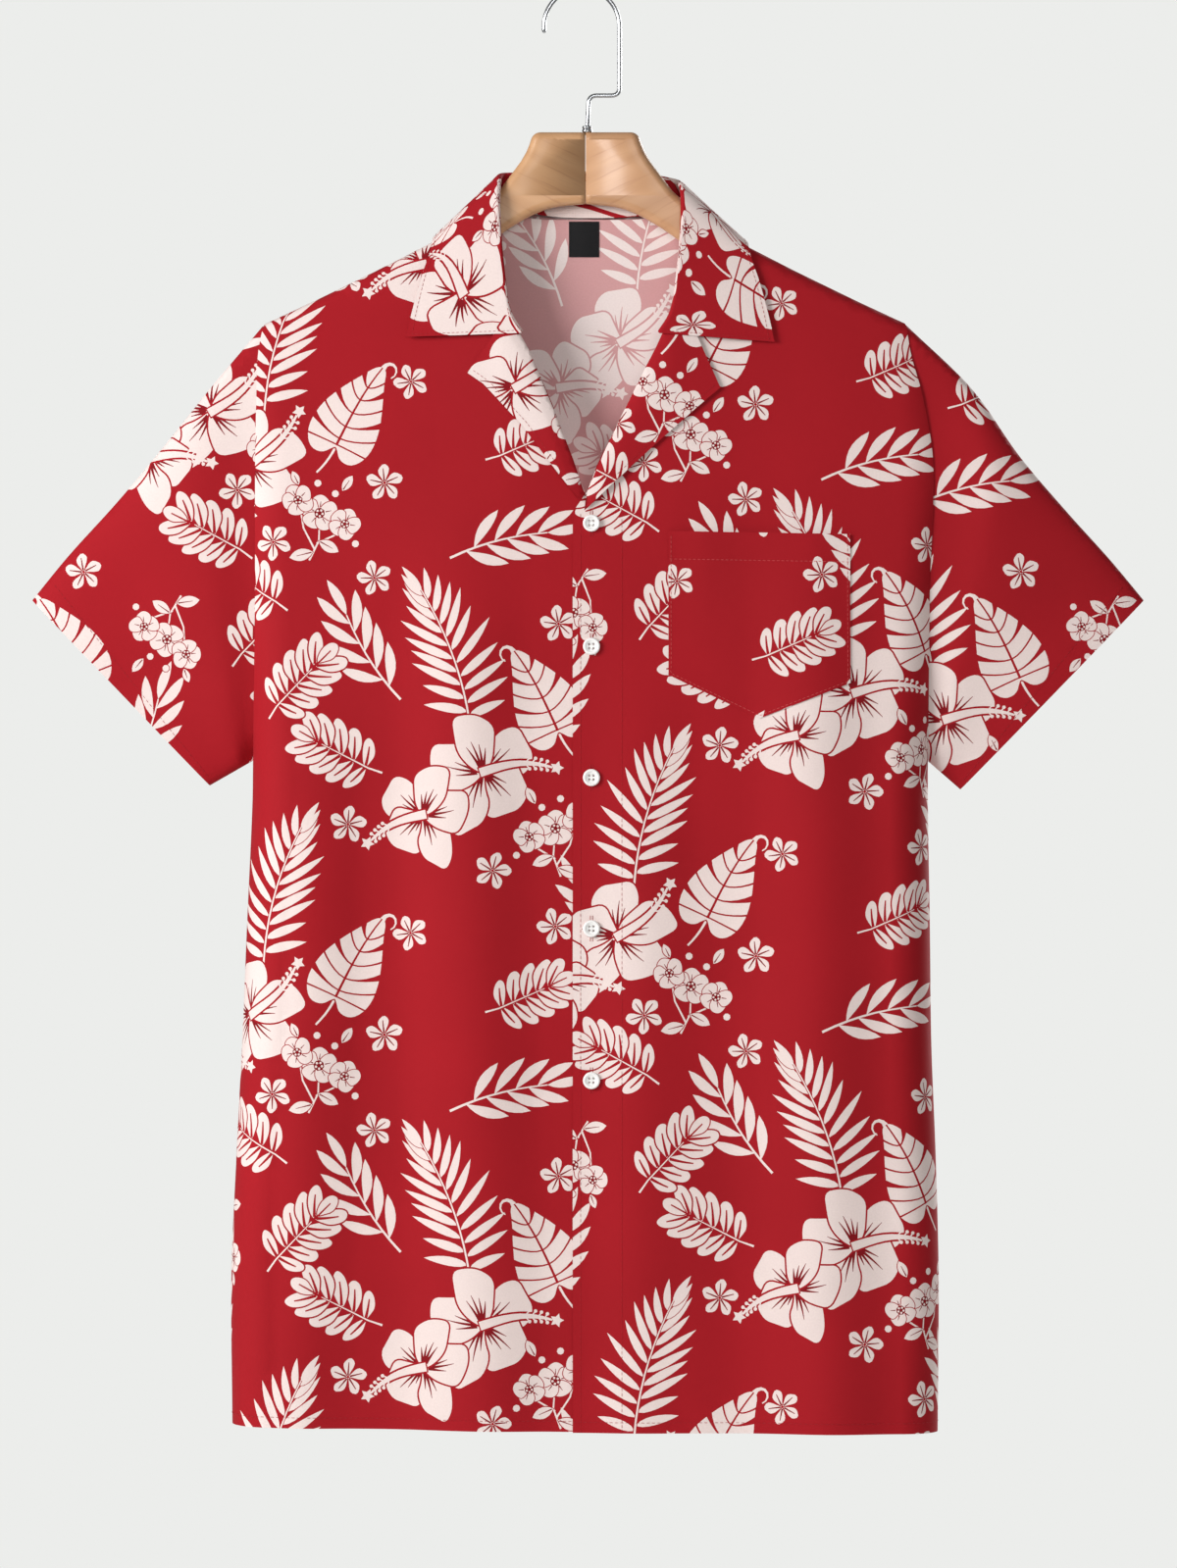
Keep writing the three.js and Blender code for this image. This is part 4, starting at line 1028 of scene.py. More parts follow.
def colour(red, green, blue):
    """A linear colour from the values that a screen shows."""
    return tuple(((c / 255 + 0.055) / 1.055) ** 2.4 if c > 10 else c / 3294.6 for c in (red, green, blue)) + (1.0,)


def printed_cloth():
    made = Shader("Printed cloth", Roughness=0.72, Sheen_Weight=0.02, Sheen_Roughness=0.5, Specular_IOR_Level=0.12)
    tint = made.node("ShaderNodeSeparateColor", None, {0: made.node("ShaderNodeAttribute", {"attribute_name": "print"})})
    white, vein, wrong = (Value(made, tint.socket.node.outputs[k]) for k in range(3))
    flat = made.node("ShaderNodeUVMap", {"uv_map": "flat"})
    patch = made.noise(flat, 9.0, 3.0)
    thread = made.noise(flat, 900.0, 2.0)
    red = made.mix(patch, colour(158, 19, 29), colour(174, 24, 35))
    right_side = made.mix(vein, made.mix(white, red, colour(242, 224, 219)), colour(132, 16, 25))
    ghost = made.mix(white, colour(214, 162, 162), colour(244, 230, 226))
    base = made.mix(wrong, right_side, ghost)
    base = made.mix(thread * 0.14, base, colour(104, 22, 28))
    across = made.node("ShaderNodeTexWave", {"bands_direction": "X"}, {"Vector": flat, "Scale": 520.0, "Distortion": 0.6})
    along = made.node("ShaderNodeTexWave", {"bands_direction": "Y"}, {"Vector": flat, "Scale": 520.0, "Distortion": 0.6})
    weave = Value(made, across.socket.node.outputs[1]) * 0.5 + Value(made, along.socket.node.outputs[1]) * 0.5
    crinkle = made.noise(flat, 60.0, 4.0, 0.55)
    normal = made.bump(weave * 0.4 + crinkle, 0.25, 0.0012)
    return made.feed(Base_Color=base, Normal=normal, Roughness=0.66 + patch * 0.12)


def beech_wood():
    made = Shader("Beech", Coat_Weight=0.25, Coat_Roughness=0.25, Specular_IOR_Level=0.4)
    place = made.node("ShaderNodeTexCoord", out=3)
    split = made.node("ShaderNodeSeparateXYZ", None, {0: place})
    x, y, z = (Value(made, split.socket.node.outputs[k]) for k in range(3))
    out = abs(x - MIDDLE * MM)
    along = out * 0.90 + z * 0.42
    across = z * 0.90 - out * 0.42
    board = made.node("ShaderNodeCombineXYZ", None, {0: along * 5.0, 1: y * 24.0, 2: across * 40.0})
    figure = made.noise(board, 1.6, 4.0, 0.55)
    fine = made.node("ShaderNodeCombineXYZ", None, {0: along * 30.0, 1: y * 200.0, 2: across * 420.0})
    fleck = made.noise(fine, 1.2, 2.0, 0.5)
    marks = made.node("ShaderNodeValToRGB", {"stops": ((0.56, (0, 0, 0, 1)), (0.70, (1, 1, 1, 1)))}, {0: fleck})
    rings = made.node("ShaderNodeTexWave", {"bands_direction": "Z"}, {"Vector": board, "Scale": 0.55, "Distortion": 5.0, "Detail": 2.0})
    left = made.node("ShaderNodeMath", {"operation": "LESS_THAN"}, {0: x, 1: MIDDLE * MM})
    light = made.mix(left, colour(206, 158, 118), colour(214, 166, 122))
    dark = made.mix(left, colour(184, 134, 94), colour(192, 142, 98))
    base = made.mix(figure * 0.55 + Value(made, rings.socket.node.outputs[1]) * 0.35, light, dark)
    base = made.mix(marks * 0.30, base, colour(160, 106, 70))
    rough = 0.38 + fleck * 0.18
    return made.feed(Base_Color=base, Roughness=rough, Normal=made.bump(fleck, 0.12, 0.0004))


def plated_wire():
    made = Shader("Plated wire", Metallic=1.0)
    place = made.node("ShaderNodeTexCoord", out=3)
    wear = made.noise(place, 160.0, 3.0)
    drawn = made.noise(place, 900.0, 2.0)
    base = made.mix(wear, colour(176, 178, 182), colour(204, 206, 208))
    return made.feed(Base_Color=base, Roughness=0.14 + wear * 0.14, Normal=made.bump(drawn, 0.08, 0.0002))


def button_plastic():
    made = Shader("Button", Coat_Weight=0.3, Coat_Roughness=0.15, Specular_IOR_Level=0.5)
    place = made.node("ShaderNodeTexCoord", out=3)
    cloud = made.noise(place, 240.0, 3.0)
    base = made.mix(cloud, colour(238, 235, 232), colour(248, 247, 245))
    return made.feed(Base_Color=base, Roughness=0.28 + cloud * 0.1, Normal=made.bump(cloud, 0.05, 0.0002))


def thread_cotton(name, shade, deep):
    made = Shader(name, Sheen_Weight=0.1, Specular_IOR_Level=0.2)
    place = made.node("ShaderNodeTexCoord", out=3)
    twist = made.noise(place, 1500.0, 2.0)
    return made.feed(Base_Color=made.mix(twist, shade, deep), Roughness=0.62 + twist * 0.2, Normal=made.bump(twist, 0.3, 0.0002))


def label_satin():
    made = Shader("Label satin", Specular_IOR_Level=0.25)
    flat = made.node("ShaderNodeUVMap", {"uv_map": "flat"})
    rows = made.node("ShaderNodeTexWave", {"bands_direction": "Y"}, {"Vector": flat, "Scale": 700.0, "Distortion": 0.8})
    grain = made.noise(flat, 500.0, 2.0)
    base = made.mix(grain, colour(8, 8, 10), colour(20, 19, 22))
    ribbing = Value(made, rows.socket.node.outputs[1])
    return made.feed(Base_Color=base, Roughness=0.42 + grain * 0.15, Normal=made.bump(ribbing + grain, 0.3, 0.0003))


cloth = printed_cloth()
beech = beech_wood()
wire = plated_wire()
plastic = button_plastic()
satin = label_satin()
red_thread = thread_cotton("Red thread", colour(150, 22, 30), colour(176, 34, 42))
pocket_thread = thread_cotton("Pocket thread", colour(188, 62, 66), colour(208, 92, 92))
white_thread = thread_cotton("White thread", colour(226, 222, 218), colour(244, 241, 238))
black_thread = thread_cotton("Black thread", colour(16, 15, 17), colour(40, 38, 40))


def dress(obj, slot, *nodes):
    """Rides a piece on the object's only body, in place of its nodes; the slot is not used."""
    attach(obj, "root")
    if nodes:
        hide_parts(*nodes)
    return obj


def hang_sheet(obj, rests_on):
    """Gives the cloth piece back unchanged."""
    return obj


# Fronts, back and sleeves
fronts = {}
for side, name in ((-1, "front_right"), (1, "front_left")):
    piece = Piece(front_outline(side), hang_front(side), -1, offset=(4.0, 12.0) if side < 0 else (-38.0, 60.0))
    fronts[side] = dress(cloth_piece(name.title() + "_cloth", [piece], cloth), "printed_cloth", name)
    hang_sheet(fronts[side], ["hanger_right" if side < 0 else "hanger_left"])

back_piece = Piece(back_outline(), hang_back, 1, offset=(232.0, 88.0), ghost=((-70, -330), (80, -120)))
back = dress(cloth_piece("Back_cloth", [back_piece], cloth), "printed_cloth", "back")
hang_sheet(back, ["hanger_right", "hanger_left"])

sleeves = {}
for side, name in ((-1, "sleeve_right"), (1, "sleeve_left")):
    sleeve = Sleeve(side)
    halves = []
    for face in (-1, 1):
        hang = lambda s, t, sleeve=sleeve, face=face: sleeve.hang(face, s, t)
        halves.append(Piece(sleeve.outline(), hang, face, offset=(18.0 * side, 44.0), spacing=6.0, extra=sleeve.near_edges()))
    sleeves[side] = dress(cloth_piece(name.title() + "_cloth", halves, cloth), "printed_cloth", name)
    hang_sheet(sleeves[side], ["front_right" if side < 0 else "front_left"])


# Lapels
def hang_lapel(rows, side):
    """The turned-back top of a front: it leaves the roll line in a round and lies on the front."""
    inner_x, inner_z, outer_x, outer_z = rows
    order = np.argsort(inner_z)

    def place(s, t):
        roll_x = np.interp(t, inner_z[order], inner_x[order])
        off = np.abs(s - roll_x)
        share = np.clip(off / LAPEL_ROLL, 0, 1)
        lift = LAPEL_ROLL * np.sqrt(1 - (1 - share) ** 2) * 1.05 + 1.2 * ease(off, 0, 8) * (1 - ease(off, 8, 34))
        return hang_body(-1, s, t, lift + 0.35)

    return place


def lapel_outline(rows):
    inner_x, inner_z, outer_x, outer_z = rows
    inner = list(zip(inner_x.tolist(), inner_z.tolist()))
    outer = list(zip(outer_x.tolist(), outer_z.tolist()))
    return sampled(inner + outer[::-1], 3.0)


for side, name, rows, offset in ((-1, "lapel_right", RIGHT_LAPEL, (-100, -278)), (1, "lapel_left", LEFT_LAPEL, (-54, -252))):
    piece = Piece(lapel_outline(rows), hang_lapel(rows, side), -1, offset=offset, spacing=3.0)
    made = dress(cloth_piece(name.title() + "_cloth", [piece], cloth), "printed_cloth", name)
    hang_sheet(made, ["front_right" if side < 0 else "front_left"])

# Collar
COLLAR_FLAT = (392.0, 84.0)
collar_surface = Sheet(collar_sheet(), *COLLAR_FLAT)
collar_ring = sampled([(0.0, 0.0), (COLLAR_FLAT[0], 0.0), COLLAR_FLAT, (0.0, COLLAR_FLAT[1])], 3.0)
collar_piece = Piece(collar_ring, collar_surface.hang, -1, offset=(-30.0, 22.0), thick=COLLAR_CLOTH, spacing=3.0)
collar = dress(cloth_piece("Collar_cloth", [collar_piece], cloth), "printed_cloth", "collar")
hang_sheet(collar, ["front_right", "front_left", "back"])

# Pocket
POCKET = {"left": 52.8, "right": 163.4, "top": (-331.5, -333.3), "low": (-419.0, -424.0), "point": -445.5}
POCKET_HEM = 17.0


def hang_pocket(s, t):
    across = (s - POCKET["left"]) / (POCKET["right"] - POCKET["left"])
    low = np.interp(across, (0, 0.5, 1), (POCKET["low"][0], POCKET["point"], POCKET["low"][1]))
    inward = np.minimum(np.minimum(s - POCKET["left"], POCKET["right"] - s), t - low)
    puff = 1.5 * ease(inward, 1, 26) * (0.3 + 0.7 * ease(t, -420, -335)) + 0.8 * ease(t, -346, -334)
    return hang_body(-1, s, t, 0.75 + puff)


pocket_ring = sampled([
    (POCKET["left"], POCKET["top"][0]), (POCKET["left"], POCKET["low"][0]),
    ((POCKET["left"] + POCKET["right"]) / 2, POCKET["point"]),
    (POCKET["right"], POCKET["low"][1]), (POCKET["right"], POCKET["top"][1]),
], 4.0)
pocket_piece = Piece(pocket_ring, hang_pocket, -1, offset=(-102.0, -110.0), spacing=4.0)
pocket = dress(cloth_piece("Pocket_cloth", [pocket_piece], cloth), "printed_cloth", "pocket")
hang_sheet(pocket, ["front_left"])

# Neck label
LABEL = {"left": -7.8, "right": 10.8, "top": -140.6, "bottom": -162.3}


def hang_label(s, t):
    inner = hang_body(1, s, t)
    inner[..., 1] -= CLOTH + 0.35 + 0.5 * np.sin(np.pi * np.clip((s - LABEL["left"]) / 18.6, 0, 1))
    return inner


label_ring = sampled([(LABEL["left"], LABEL["bottom"]), (LABEL["right"], LABEL["bottom"]),
                      (LABEL["right"], LABEL["top"]), (LABEL["left"], LABEL["top"])], 1.5)
label_piece = Piece(label_ring, hang_label, -1, offset=(1e4, 1e4), thick=0.35, spacing=1.5)
label = dress(cloth_piece("Neck_label_satin", [label_piece], satin), "label", "neck_label")
hang_sheet(label, ["back"])


# Hanger halves
WOOD_THICK = 11.5
WOOD_ROUND = 5.0
WOOD_CLEAR = 2.5
CROWN = {"z": -86.7, "half": 33.6}
CROWN_FLANK = ((34.3, -94.0), (36.2, -98.6), (39.4, -104.2), (43.8, -110.2), (48.5, -116.5), (53.2, -122.6))
CROWN_CORNER = 6.0
WOOD_UNDER = columns((0, -130.5), (24, -134), (48, -146.5), (92, -179), (140, -203), (176, -219))
TIP_OUT = 184.0
JOINT = 0.15


def wood_ring():
    """The outline of one half, from the joint over the crown and along the arm to its tip, and back under."""
    reach = np.linspace(57, TIP_OUT - 3, 40)
    arm = list(zip(reach.tolist(), (ridge_z(MIDDLE + reach) - WOOD_CLEAR).tolist()))
    tip_top, tip_low = arm[-1][1], -219.0
    middle, half = (tip_top + tip_low) / 2, (tip_top - tip_low) / 2
    turn = np.linspace(70, -70, 9)
    tip = [(TIP_OUT - 6 + 6 * math.cos(math.radians(a)), middle + half * math.sin(math.radians(a))) for a in turn]
    under = np.linspace(176, JOINT, 60)
    low = list(zip(under.tolist(), smooth(WOOD_UNDER[0], WOOD_UNDER[1], under).tolist()))
    centre = (CROWN["half"] - CROWN_CORNER, CROWN["z"] - CROWN_CORNER)
    corner = [(centre[0] + CROWN_CORNER * math.sin(a), centre[1] + CROWN_CORNER * math.cos(a)) for a in np.linspace(0, 1.3, 7)]
    top = [(x, CROWN["z"]) for x in np.linspace(JOINT, centre[0] - 2, 8).tolist()]
    return np.array(top + corner + list(CROWN_FLANK) + arm + tip + low)


def wood_half(name, side):
    """Rounds the outline's edges by rings that step in and out, then closes both faces."""
    ring = wood_ring()
    ahead = np.roll(ring, -1, axis=0) - np.roll(ring, 1, axis=0)
    ahead /= np.maximum(np.linalg.norm(ahead, axis=1, keepdims=True), 1e-6)
    inward = np.stack([ahead[:, 1], -ahead[:, 0]], axis=1)
    at_joint = ring[:, 0] <= JOINT + 0.01
    inward[at_joint] = np.where(ring[at_joint, 1:] > -100, (0.0, -1.0), (0.0, 1.0))
    rows = []
    for angle in np.linspace(-90, 90, 15):
        a = math.radians(angle)
        step = WOOD_ROUND * (1 - math.cos(a))
        y = math.sin(a) * WOOD_ROUND + math.copysign(WOOD_THICK / 2 - WOOD_ROUND, a) if angle else 0.0
        flat = ring + inward * step
        rows.append(np.stack([MIDDLE + side * flat[:, 0], np.full(len(flat), y), flat[:, 1]], axis=1))
    count = len(ring)
    faces = []
    for r in range(len(rows) - 1):
        for k in range(count):
            a, b = r * count + k, r * count + (k + 1) % count
            faces.append((a, b, b + count, a + count))
    last = (len(rows) - 1) * count
    for triangle in geometry.tessellate_polygon([[Vector(p) for p in rows[0].tolist()]]):
        faces += [tuple(triangle), tuple(last + k for k in triangle)]
    return outward(mesh_object(name, np.concatenate(rows), faces, beech))


def outward(obj):
    """Turns a closed mesh's faces outwards."""
    import bmesh

    work = bmesh.new()
    work.from_mesh(obj.data)
    bmesh.ops.recalc_face_normals(work, faces=work.faces)
    bmesh.ops.triangulate(work, faces=[f for f in work.faces if len(f.verts) > 4])
    work.to_mesh(obj.data)
    work.free()
    return obj


for side, node in ((-1, "hanger_right"), (1, "hanger_left")):
    dress(wood_half(node.title() + "_wood", side), "hanger_wood", node)


# Hook and nut
WIRE = 1.35
HOOK = {"radius": 23.1, "bend_z": -64.2, "bend": 5.0, "foot": 3.4, "knee": 4.2, "arc": 187.0}


def corner_arc(start, at, end, steps=7):
    share = np.linspace(0, 1, steps)[:, None]
    start, at, end = (np.array(p, dtype=float) for p in (start, at, end))
    return (1 - share) ** 2 * start + 2 * share * (1 - share) * at + share**2 * end


def hook_route():
    bend, radius, knee, low = HOOK["bend"], HOOK["radius"], HOOK["knee"], HOOK["bend_z"]
    centre = WIRE - radius
    first = corner_arc((knee, low - bend), (knee, low), (knee + bend, low))
    second = corner_arc((radius - bend, low), (radius, low), (radius, low + bend))
    angle = np.radians(np.linspace(0, HOOK["arc"], 40))
    arc = np.stack([radius * np.cos(angle), centre + radius * np.sin(angle)], axis=1)
    return np.concatenate([[(HOOK["foot"], CROWN["z"] - 1.0)], first, second, arc])


def wire_mesh(name, route, radius, sides=16):
    """A round wire along a route in the plane of the hanger, with rounded ends."""
    route = np.asarray(route)
    ahead = np.gradient(route, axis=0)
    ahead /= np.linalg.norm(ahead, axis=1, keepdims=True)
    rings = []
    for k, (point, way) in enumerate(zip(route, ahead)):
        stages = [(0.0, 1.0)]
        if k == 0:
            stages = [(-0.98, 0.2), (-0.7, 0.7), (0.0, 1.0)]
        elif k == len(route) - 1:
            stages = [(0.0, 1.0), (0.7, 0.7), (0.98, 0.2)]
        for shift, wide in stages:
            angle = 2 * np.pi * np.arange(sides) / sides
            out = np.array([way[1], -way[0]])
            flat = point + way * shift * radius + out * (np.cos(angle) * radius * wide)[:, None]
            rings.append(np.stack([flat[:, 0], np.sin(angle) * radius * wide, flat[:, 1]], axis=1))
    faces = []
    for r in range(len(rings) - 1):
        for k in range(sides):
            a, b = r * sides + k, r * sides + (k + 1) % sides
            faces.append((a, b, b + sides, a + sides))
    faces += [tuple(range(sides)), tuple(range((len(rings) - 1) * sides, len(rings) * sides))]
    return outward(mesh_object(name, np.concatenate(rings), faces, wire))


def turned(name, profile, centre, material, sides=32):
    """A ring turned round an upright axis."""
    rows = []
    for k in range(sides):
        a = 2 * math.pi * k / sides
        rows += [(centre + r * math.cos(a), r * math.sin(a), z) for r, z in profile]
    count = len(profile)
    faces = []
    for k in range(sides):
        for j in range(count):
            a, b = k * count + j, k * count + (j + 1) % count
            c, d = ((k + 1) % sides) * count + (j + 1) % count, ((k + 1) % sides) * count + j
            faces.append((a, b, c, d))
    return outward(mesh_object(name, rows, faces, material))


dress(wire_mesh("Hook_wire", hook_route(), WIRE), "hook_metal", "hook")
foot = CROWN["z"] + 0.2
nut_profile = ((1.75, foot), (3.0, foot), (3.1, foot + 0.3), (3.1, foot + 1.4), (2.7, foot + 1.7), (2.7, foot + 2.1),
               (3.0, foot + 2.4), (3.0, foot + 3.3), (2.7, foot + 3.6), (1.75, foot + 3.6))
dress(turned("Hook_nut_steel", nut_profile, HOOK["foot"], wire), "hook_metal", "hook_nut")

# Buttons
BUTTON = {"radius": 5.25, "thick": 2.0, "hole": 0.72, "out": 1.25, "x": 6.0}
BUTTON_Z = (-326.7, -401.7, -481.5, -573.3, -665.7)
# Distance from the middle as a share of the radius, and height off the back as a share of the thickness
BUTTON_PROFILE = columns((0, 0.62), (0.45, 0.62), (0.58, 0.72), (0.74, 0.98), (0.86, 1.0), (0.95, 0.86), (1.0, 0.55))


def button(name, x, z, back_y):
    """A dished four-hole button with a raised rim."""
    radius = BUTTON["radius"]
    ring = dot(0, 0, radius, 40)
    holes = [dot(a * BUTTON["out"], b * BUTTON["out"], BUTTON["hole"], 12) for a in (-1, 1) for b in (-1, 1)]
    circles = [dot(0, 0, radius * share, 40) for share in (0.2, 0.45, 0.52, 0.58, 0.66, 0.74, 0.80, 0.86, 0.91, 0.95, 0.98)]
    flat, corners, _ = cut(ring, [(WHITE, hole) for hole in holes], 20.0, np.concatenate(circles))
    middles = flat[corners].mean(axis=1)
    solid = ~np.any([inside(middles, hole) for hole in holes], axis=0)
    corners = corners[solid]
    share = np.linalg.norm(flat, axis=1) / radius
    high = np.interp(share, *BUTTON_PROFILE) * BUTTON["thick"]
    front = np.stack([x + flat[:, 0], back_y - high, z + flat[:, 1]], axis=1)
    base = np.interp(share, (0, 0.9, 1), (0, 0, 0.25)) * BUTTON["thick"]
    rear = np.stack([x + flat[:, 0], back_y - base, z + flat[:, 1]], axis=1)
    count = len(flat)
    edges, _ = border(corners)
    walls = [(i, j, j + count) for i, j in edges.tolist()] + [(i, j + count, i + count) for i, j in edges.tolist()]
    faces = np.concatenate([corners, corners[:, ::-1] + count, np.array(walls)])
    return outward(mesh_object(name, np.concatenate([front, rear]), faces, plastic))


def cloth_front(x, z):
    """The foremost cloth under a button."""
    ring = dot(x, z, BUTTON["radius"], 8)
    return float(hang_front(1)(ring[:, 0], ring[:, 1])[:, 1].min())


button_backs = [cloth_front(BUTTON["x"], z) - 0.25 for z in BUTTON_Z]
for k, (z, back_y) in enumerate(zip(BUTTON_Z, button_backs), 1):
    dress(button(f"Button_{k}_plastic", BUTTON["x"], z, back_y), "button", f"button_{k}")


# Stitches: rows of short thread grains along paths, made by geometry nodes
def stitch_tree():
    tree = bpy.data.node_groups.new("Stitch row", "GeometryNodeTree")
    face = tree.interface
    face.new_socket("Geometry", in_out="INPUT", socket_type="NodeSocketGeometry")
    for name in ("Pitch", "Long", "Wide"):
        face.new_socket(name, in_out="INPUT", socket_type="NodeSocketFloat")
    face.new_socket("Thread", in_out="INPUT", socket_type="NodeSocketMaterial")
    face.new_socket("Geometry", in_out="OUTPUT", socket_type="NodeSocketGeometry")
    add, join = tree.nodes.new, tree.links.new
    given, result = add("NodeGroupInput"), add("NodeGroupOutput")
    curve = add("GeometryNodeMeshToCurve")
    resample = add("GeometryNodeResampleCurve")
    resample.mode = "LENGTH"
    grain = add("GeometryNodeMeshIcoSphere")
    grain.inputs["Radius"].default_value = 0.5
    grain.inputs["Subdivisions"].default_value = 1
    size = add("ShaderNodeCombineXYZ")
    shape = add("GeometryNodeTransform")
    tangent = add("GeometryNodeInputTangent")
    align = add("FunctionNodeAlignRotationToVector")
    align.axis = "Z"
    rows = add("GeometryNodeInstanceOnPoints")
    real = add("GeometryNodeRealizeInstances")
    finish = add("GeometryNodeSetMaterial")
    join(given.outputs["Geometry"], curve.inputs["Mesh"])
    join(curve.outputs["Curve"], resample.inputs["Curve"])
    join(given.outputs["Pitch"], resample.inputs["Length"])
    join(resample.outputs["Curve"], rows.inputs["Points"])
    join(given.outputs["Wide"], size.inputs["X"])
    join(given.outputs["Wide"], size.inputs["Y"])
    join(given.outputs["Long"], size.inputs["Z"])
    join(grain.outputs["Mesh"], shape.inputs["Geometry"])
    join(size.outputs["Vector"], shape.inputs["Scale"])
    join(shape.outputs["Geometry"], rows.inputs["Instance"])
    join(tangent.outputs["Tangent"], align.inputs["Vector"])
    join(align.outputs["Rotation"], rows.inputs["Rotation"])
    join(rows.outputs["Instances"], real.inputs["Geometry"])
    join(real.outputs["Geometry"], finish.inputs["Geometry"])
    join(given.outputs["Thread"], finish.inputs["Material"])
    join(finish.outputs["Geometry"], result.inputs["Geometry"])
    return tree


STITCH = stitch_tree()


def stitches(name, paths, pitch, long, wide, thread):
    """One object of thread grains along paths in millimetres."""
    points = np.concatenate(paths)
    edges, start = [], 0
    for path in paths:
        edges += [(start + k, start + k + 1) for k in range(len(path) - 1)]
        start += len(path)
    mesh = bpy.data.meshes.new(name)
    mesh.from_pydata((points * MM).tolist(), edges, [])
    made = link(bpy.data.objects.new(name, mesh))
    rows = made.modifiers.new("Stitches", "NODES")
    rows.node_group = STITCH
    sizes = {"Pitch": pitch * MM, "Long": long * MM, "Wide": wide * MM, "Thread": thread}
    for item in STITCH.interface.items_tree:
        if item.in_out == "INPUT" and item.name in sizes:
            rows[item.identifier] = sizes[item.name]
    graph = bpy.context.evaluated_depsgraph_get()
    made.data = bpy.data.meshes.new_from_object(made.evaluated_get(graph), depsgraph=graph)
    made.modifiers.remove(rows)
    return dress(made, "printed_cloth")


def on_cloth(place, flat, out, lift=0.12):
    """A path of flat places lifted just off the cloth."""
    flat = np.asarray(flat, dtype=float)
    return place(*flat.T) + normals_of(place, flat, -out) * lift


def inset(ring, by):
    """An outline moved inwards, for the stitching beside an edge."""
    return grown(np.asarray(ring, dtype=float), -by)


LAP_STITCH_X = -0.6
HEM_STITCH = 6.5
EDGE_STITCH = 2.5
front_seams = []
left_place, right_place = hang_front(1), hang_front(-1)
heights = np.linspace(HEM["middle"] + 1, -322, 160)
front_seams.append(on_cloth(left_place, np.stack([np.full(160, LAP_STITCH_X), heights], 1), -1))
front_seams.append(on_cloth(left_place, np.stack([np.full(160, 24.5), heights], 1), -1))
for side, place, first in ((-1, right_place, 12.0), (1, left_place, -4.4)):
    across = np.linspace(first, side_s(side, HEM["left"]) - side * 0.5, 120)
    hem = HEM["left"] if side < 0 else HEM["right"]
    share = np.clip((across - first) / (across[-1] - first), 0, 1)
    height = blend(HEM["middle"], hem, share) + HEM_STITCH
    front_seams.append(on_cloth(place, np.stack([across, height], 1), -1))
across = np.linspace(side_s(-1, HEM["left"]) + 0.5, side_s(1, HEM["right"]) - 0.5, 240)
height = blend(HEM["left"], HEM["right"], (across - across[0]) / (across[-1] - across[0])) + HEM_STITCH
back_seams = [on_cloth(hang_back, np.stack([across, height], 1), 1)]
stitches("Front_seam_thread", front_seams, 3.2, 2.5, 0.34, red_thread)
stitches("Back_hem_thread", back_seams, 3.2, 2.5, 0.34, red_thread)

collar_edge = inset(collar_ring, EDGE_STITCH)
collar_edge = collar_edge[collar_edge[:, 1] > 30]
order = np.concatenate([
    [(EDGE_STITCH, t) for t in np.linspace(34, COLLAR_FLAT[1] - EDGE_STITCH, 24)],
    [(s, COLLAR_FLAT[1] - EDGE_STITCH) for s in np.linspace(EDGE_STITCH, COLLAR_FLAT[0] - EDGE_STITCH, 160)],
    [(COLLAR_FLAT[0] - EDGE_STITCH, t) for t in np.linspace(COLLAR_FLAT[1] - EDGE_STITCH, 34, 24)],
])
stitches("Collar_edge_thread", [on_cloth(collar_surface.hang, order, -1)], 2.8, 2.2, 0.34, red_thread)

lapel_seams = []
for side, rows in ((-1, RIGHT_LAPEL), (1, LEFT_LAPEL)):
    place = hang_lapel(rows, side)
    outer = [(blend(x, ix, 0.06) - side * EDGE_STITCH * 0.8, z + 1.0) for ix, x, z in zip(rows[0][1:5], rows[2][1:5], rows[3][1:5])]
    path = sampled(outer, 3.0)[: -max(1, int(math.dist(outer[-1], outer[0]) / 3.0))]
    lapel_seams.append(on_cloth(place, path, -1))
stitches("Lapel_edge_thread", lapel_seams, 2.8, 2.2, 0.34, red_thread)

pocket_seam = inset(pocket_ring, 1.6)
top_z = np.interp(pocket_seam[:, 0], (POCKET["left"], POCKET["right"]), POCKET["top"])
pocket_seam = pocket_seam[pocket_seam[:, 1] < top_z - 2.0]
hem_x = np.linspace(POCKET["left"] + 1.6, POCKET["right"] - 1.6, 40)
hem_z = np.interp(hem_x, (POCKET["left"], POCKET["right"]), POCKET["top"]) - POCKET_HEM
pocket_rows = [on_cloth(hang_pocket, pocket_seam, -1), on_cloth(hang_pocket, np.stack([hem_x, hem_z], 1), -1)]
stitches("Pocket_thread", pocket_rows, 2.8, 2.2, 0.4, pocket_thread)

cuff_rows = []
for side in (-1, 1):
    sleeve = Sleeve(side)
    down = np.linspace(0.04, 0.96, 60)
    share = 1 - CUFF_HEM / 168.0
    flat = sleeve.front_view(np.full(60, share), down)
    for face in (-1, 1):
        place = lambda s, t, sleeve=sleeve, face=face: sleeve.hang(face, s, t)
        path = place(*flat.T)
        path[:, 1] += face * 0.12
        cuff_rows.append(path)
stitches("Cuff_thread", cuff_rows, 3.2, 2.5, 0.34, red_thread)

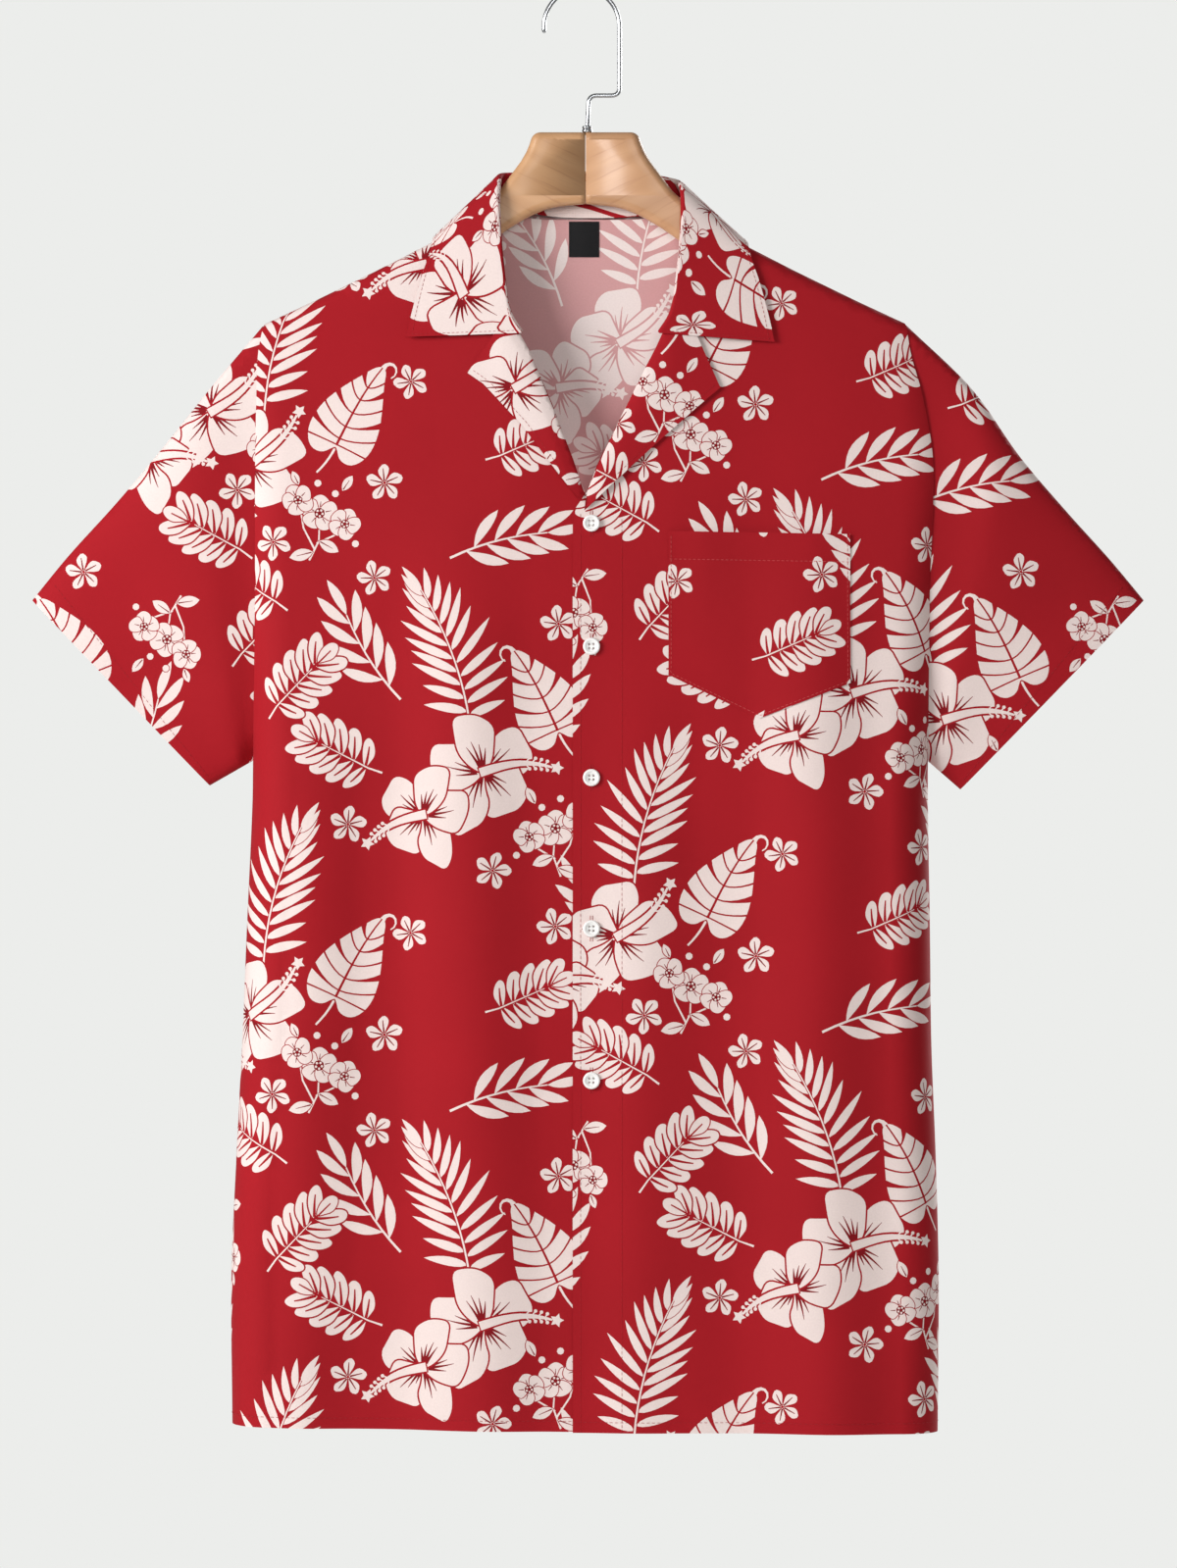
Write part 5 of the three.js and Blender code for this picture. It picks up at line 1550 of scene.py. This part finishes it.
label_path = [(x, z) for x in (LABEL["left"] + 0.9, LABEL["right"] - 0.9) for z in (LABEL["top"] - 0.8, LABEL["bottom"] + 0.8)]
label_rows = [on_cloth(hang_label, np.linspace(label_path[k], label_path[k + 1], 12), -1) for k in (0, 2)]
stitches("Label_thread", label_rows, 1.6, 1.2, 0.25, black_thread)

hole_rows, tie_rows = [], []
for z, back_y in zip(BUTTON_Z, button_backs):
    for x in (-0.7, 0.7):
        upright = np.linspace(z - 7.5, z + 7.5, 20)
        hole_rows.append(on_cloth(left_place, np.stack([np.full(20, BUTTON["x"] + x), upright], 1), -1))
    for a in (-1, 1):
        reach = np.linspace(-BUTTON["out"], BUTTON["out"], 8)
        top = back_y - BUTTON["thick"] * 0.64 - 0.12
        tie_rows.append(np.stack([BUTTON["x"] + reach, np.full(8, top), z + np.full(8, a * BUTTON["out"])], axis=1))
stitches("Buttonhole_thread", hole_rows, 0.7, 0.9, 0.5, red_thread)
stitches("Button_tie_thread", tie_rows, 0.5, 1.1, 0.5, white_thread)

# Floor, light and camera
FLOOR_Z = -1.16
FLOOR_RADIUS = 1.2


def floor():
    turn = np.linspace(0, 2 * np.pi, 65)[:-1]
    ring = np.stack([CAMERA_X + FLOOR_RADIUS * np.cos(turn), FLOOR_RADIUS * np.sin(turn), np.full(64, FLOOR_Z)], axis=1)
    made = Shader("Pale floor", Roughness=0.9, Base_Color=colour(234, 235, 233))
    return mesh_object("Floor", ring / MM, [tuple(range(64))], made.material)


floor()


def area_light(name, place, aim, size, power, tint=(1.0, 1.0, 1.0)):
    lamp = bpy.data.lights.new(name, "AREA")
    lamp.shape, lamp.size, lamp.energy, lamp.color = "DISK", size, power, tint
    made = link(bpy.data.objects.new(name, lamp))
    made.location = place
    made.rotation_euler = (Vector(aim) - Vector(place)).to_track_quat("-Z", "Y").to_euler()
    made.visible_camera = False


SHIRT_MIDDLE = (0.0, 0.0, -0.5)
ROOM_LIGHT = 0.26
area_light("Key light", (-1.7, -1.3, 0.1), SHIRT_MIDDLE, 1.1, 46.0)
area_light("Fill light", (0.5, -4.6, 0.3), SHIRT_MIDDLE, 1.6, 42.0)
area_light("Back light", (1.8, 2.4, 0.4), SHIRT_MIDDLE, 1.6, 80.0)
# Stands for the light that the thin cloth lets through to its inside
area_light("Inner light", (0.0, 0.0, -0.42), (0.0, 0.004, -0.2), 0.04, 0.06)

world = bpy.data.worlds.new("Pale studio")
world.use_nodes = True
backdrop = world.node_tree.nodes["Background"]
backdrop.inputs["Color"].default_value = colour(236, 237, 235)
# The studio's walls look pale, and light the shirt less than its lamps do
seen = world.node_tree.nodes.new("ShaderNodeLightPath")
level = world.node_tree.nodes.new("ShaderNodeMapRange")
level.inputs["To Min"].default_value = ROOM_LIGHT
level.inputs["To Max"].default_value = 1.0
world.node_tree.links.new(seen.outputs["Is Camera Ray"], level.inputs["Value"])
world.node_tree.links.new(level.outputs["Result"], backdrop.inputs["Strength"])
bpy.context.scene.world = world
bpy.context.scene.view_settings.view_transform = "Standard"

lens = bpy.data.cameras.new("Camera")
lens.sensor_width = SENSOR
lens.lens = SENSOR * CAMERA_AWAY / PHOTO_HIGH
lens.clip_end = 20.0
camera = link(bpy.data.objects.new("Camera", lens))
camera.location = (CAMERA_X, -CAMERA_AWAY, CAMERA_Z)
camera.rotation_euler = (math.pi / 2, 0.0, 0.0)
bpy.context.scene.camera = camera
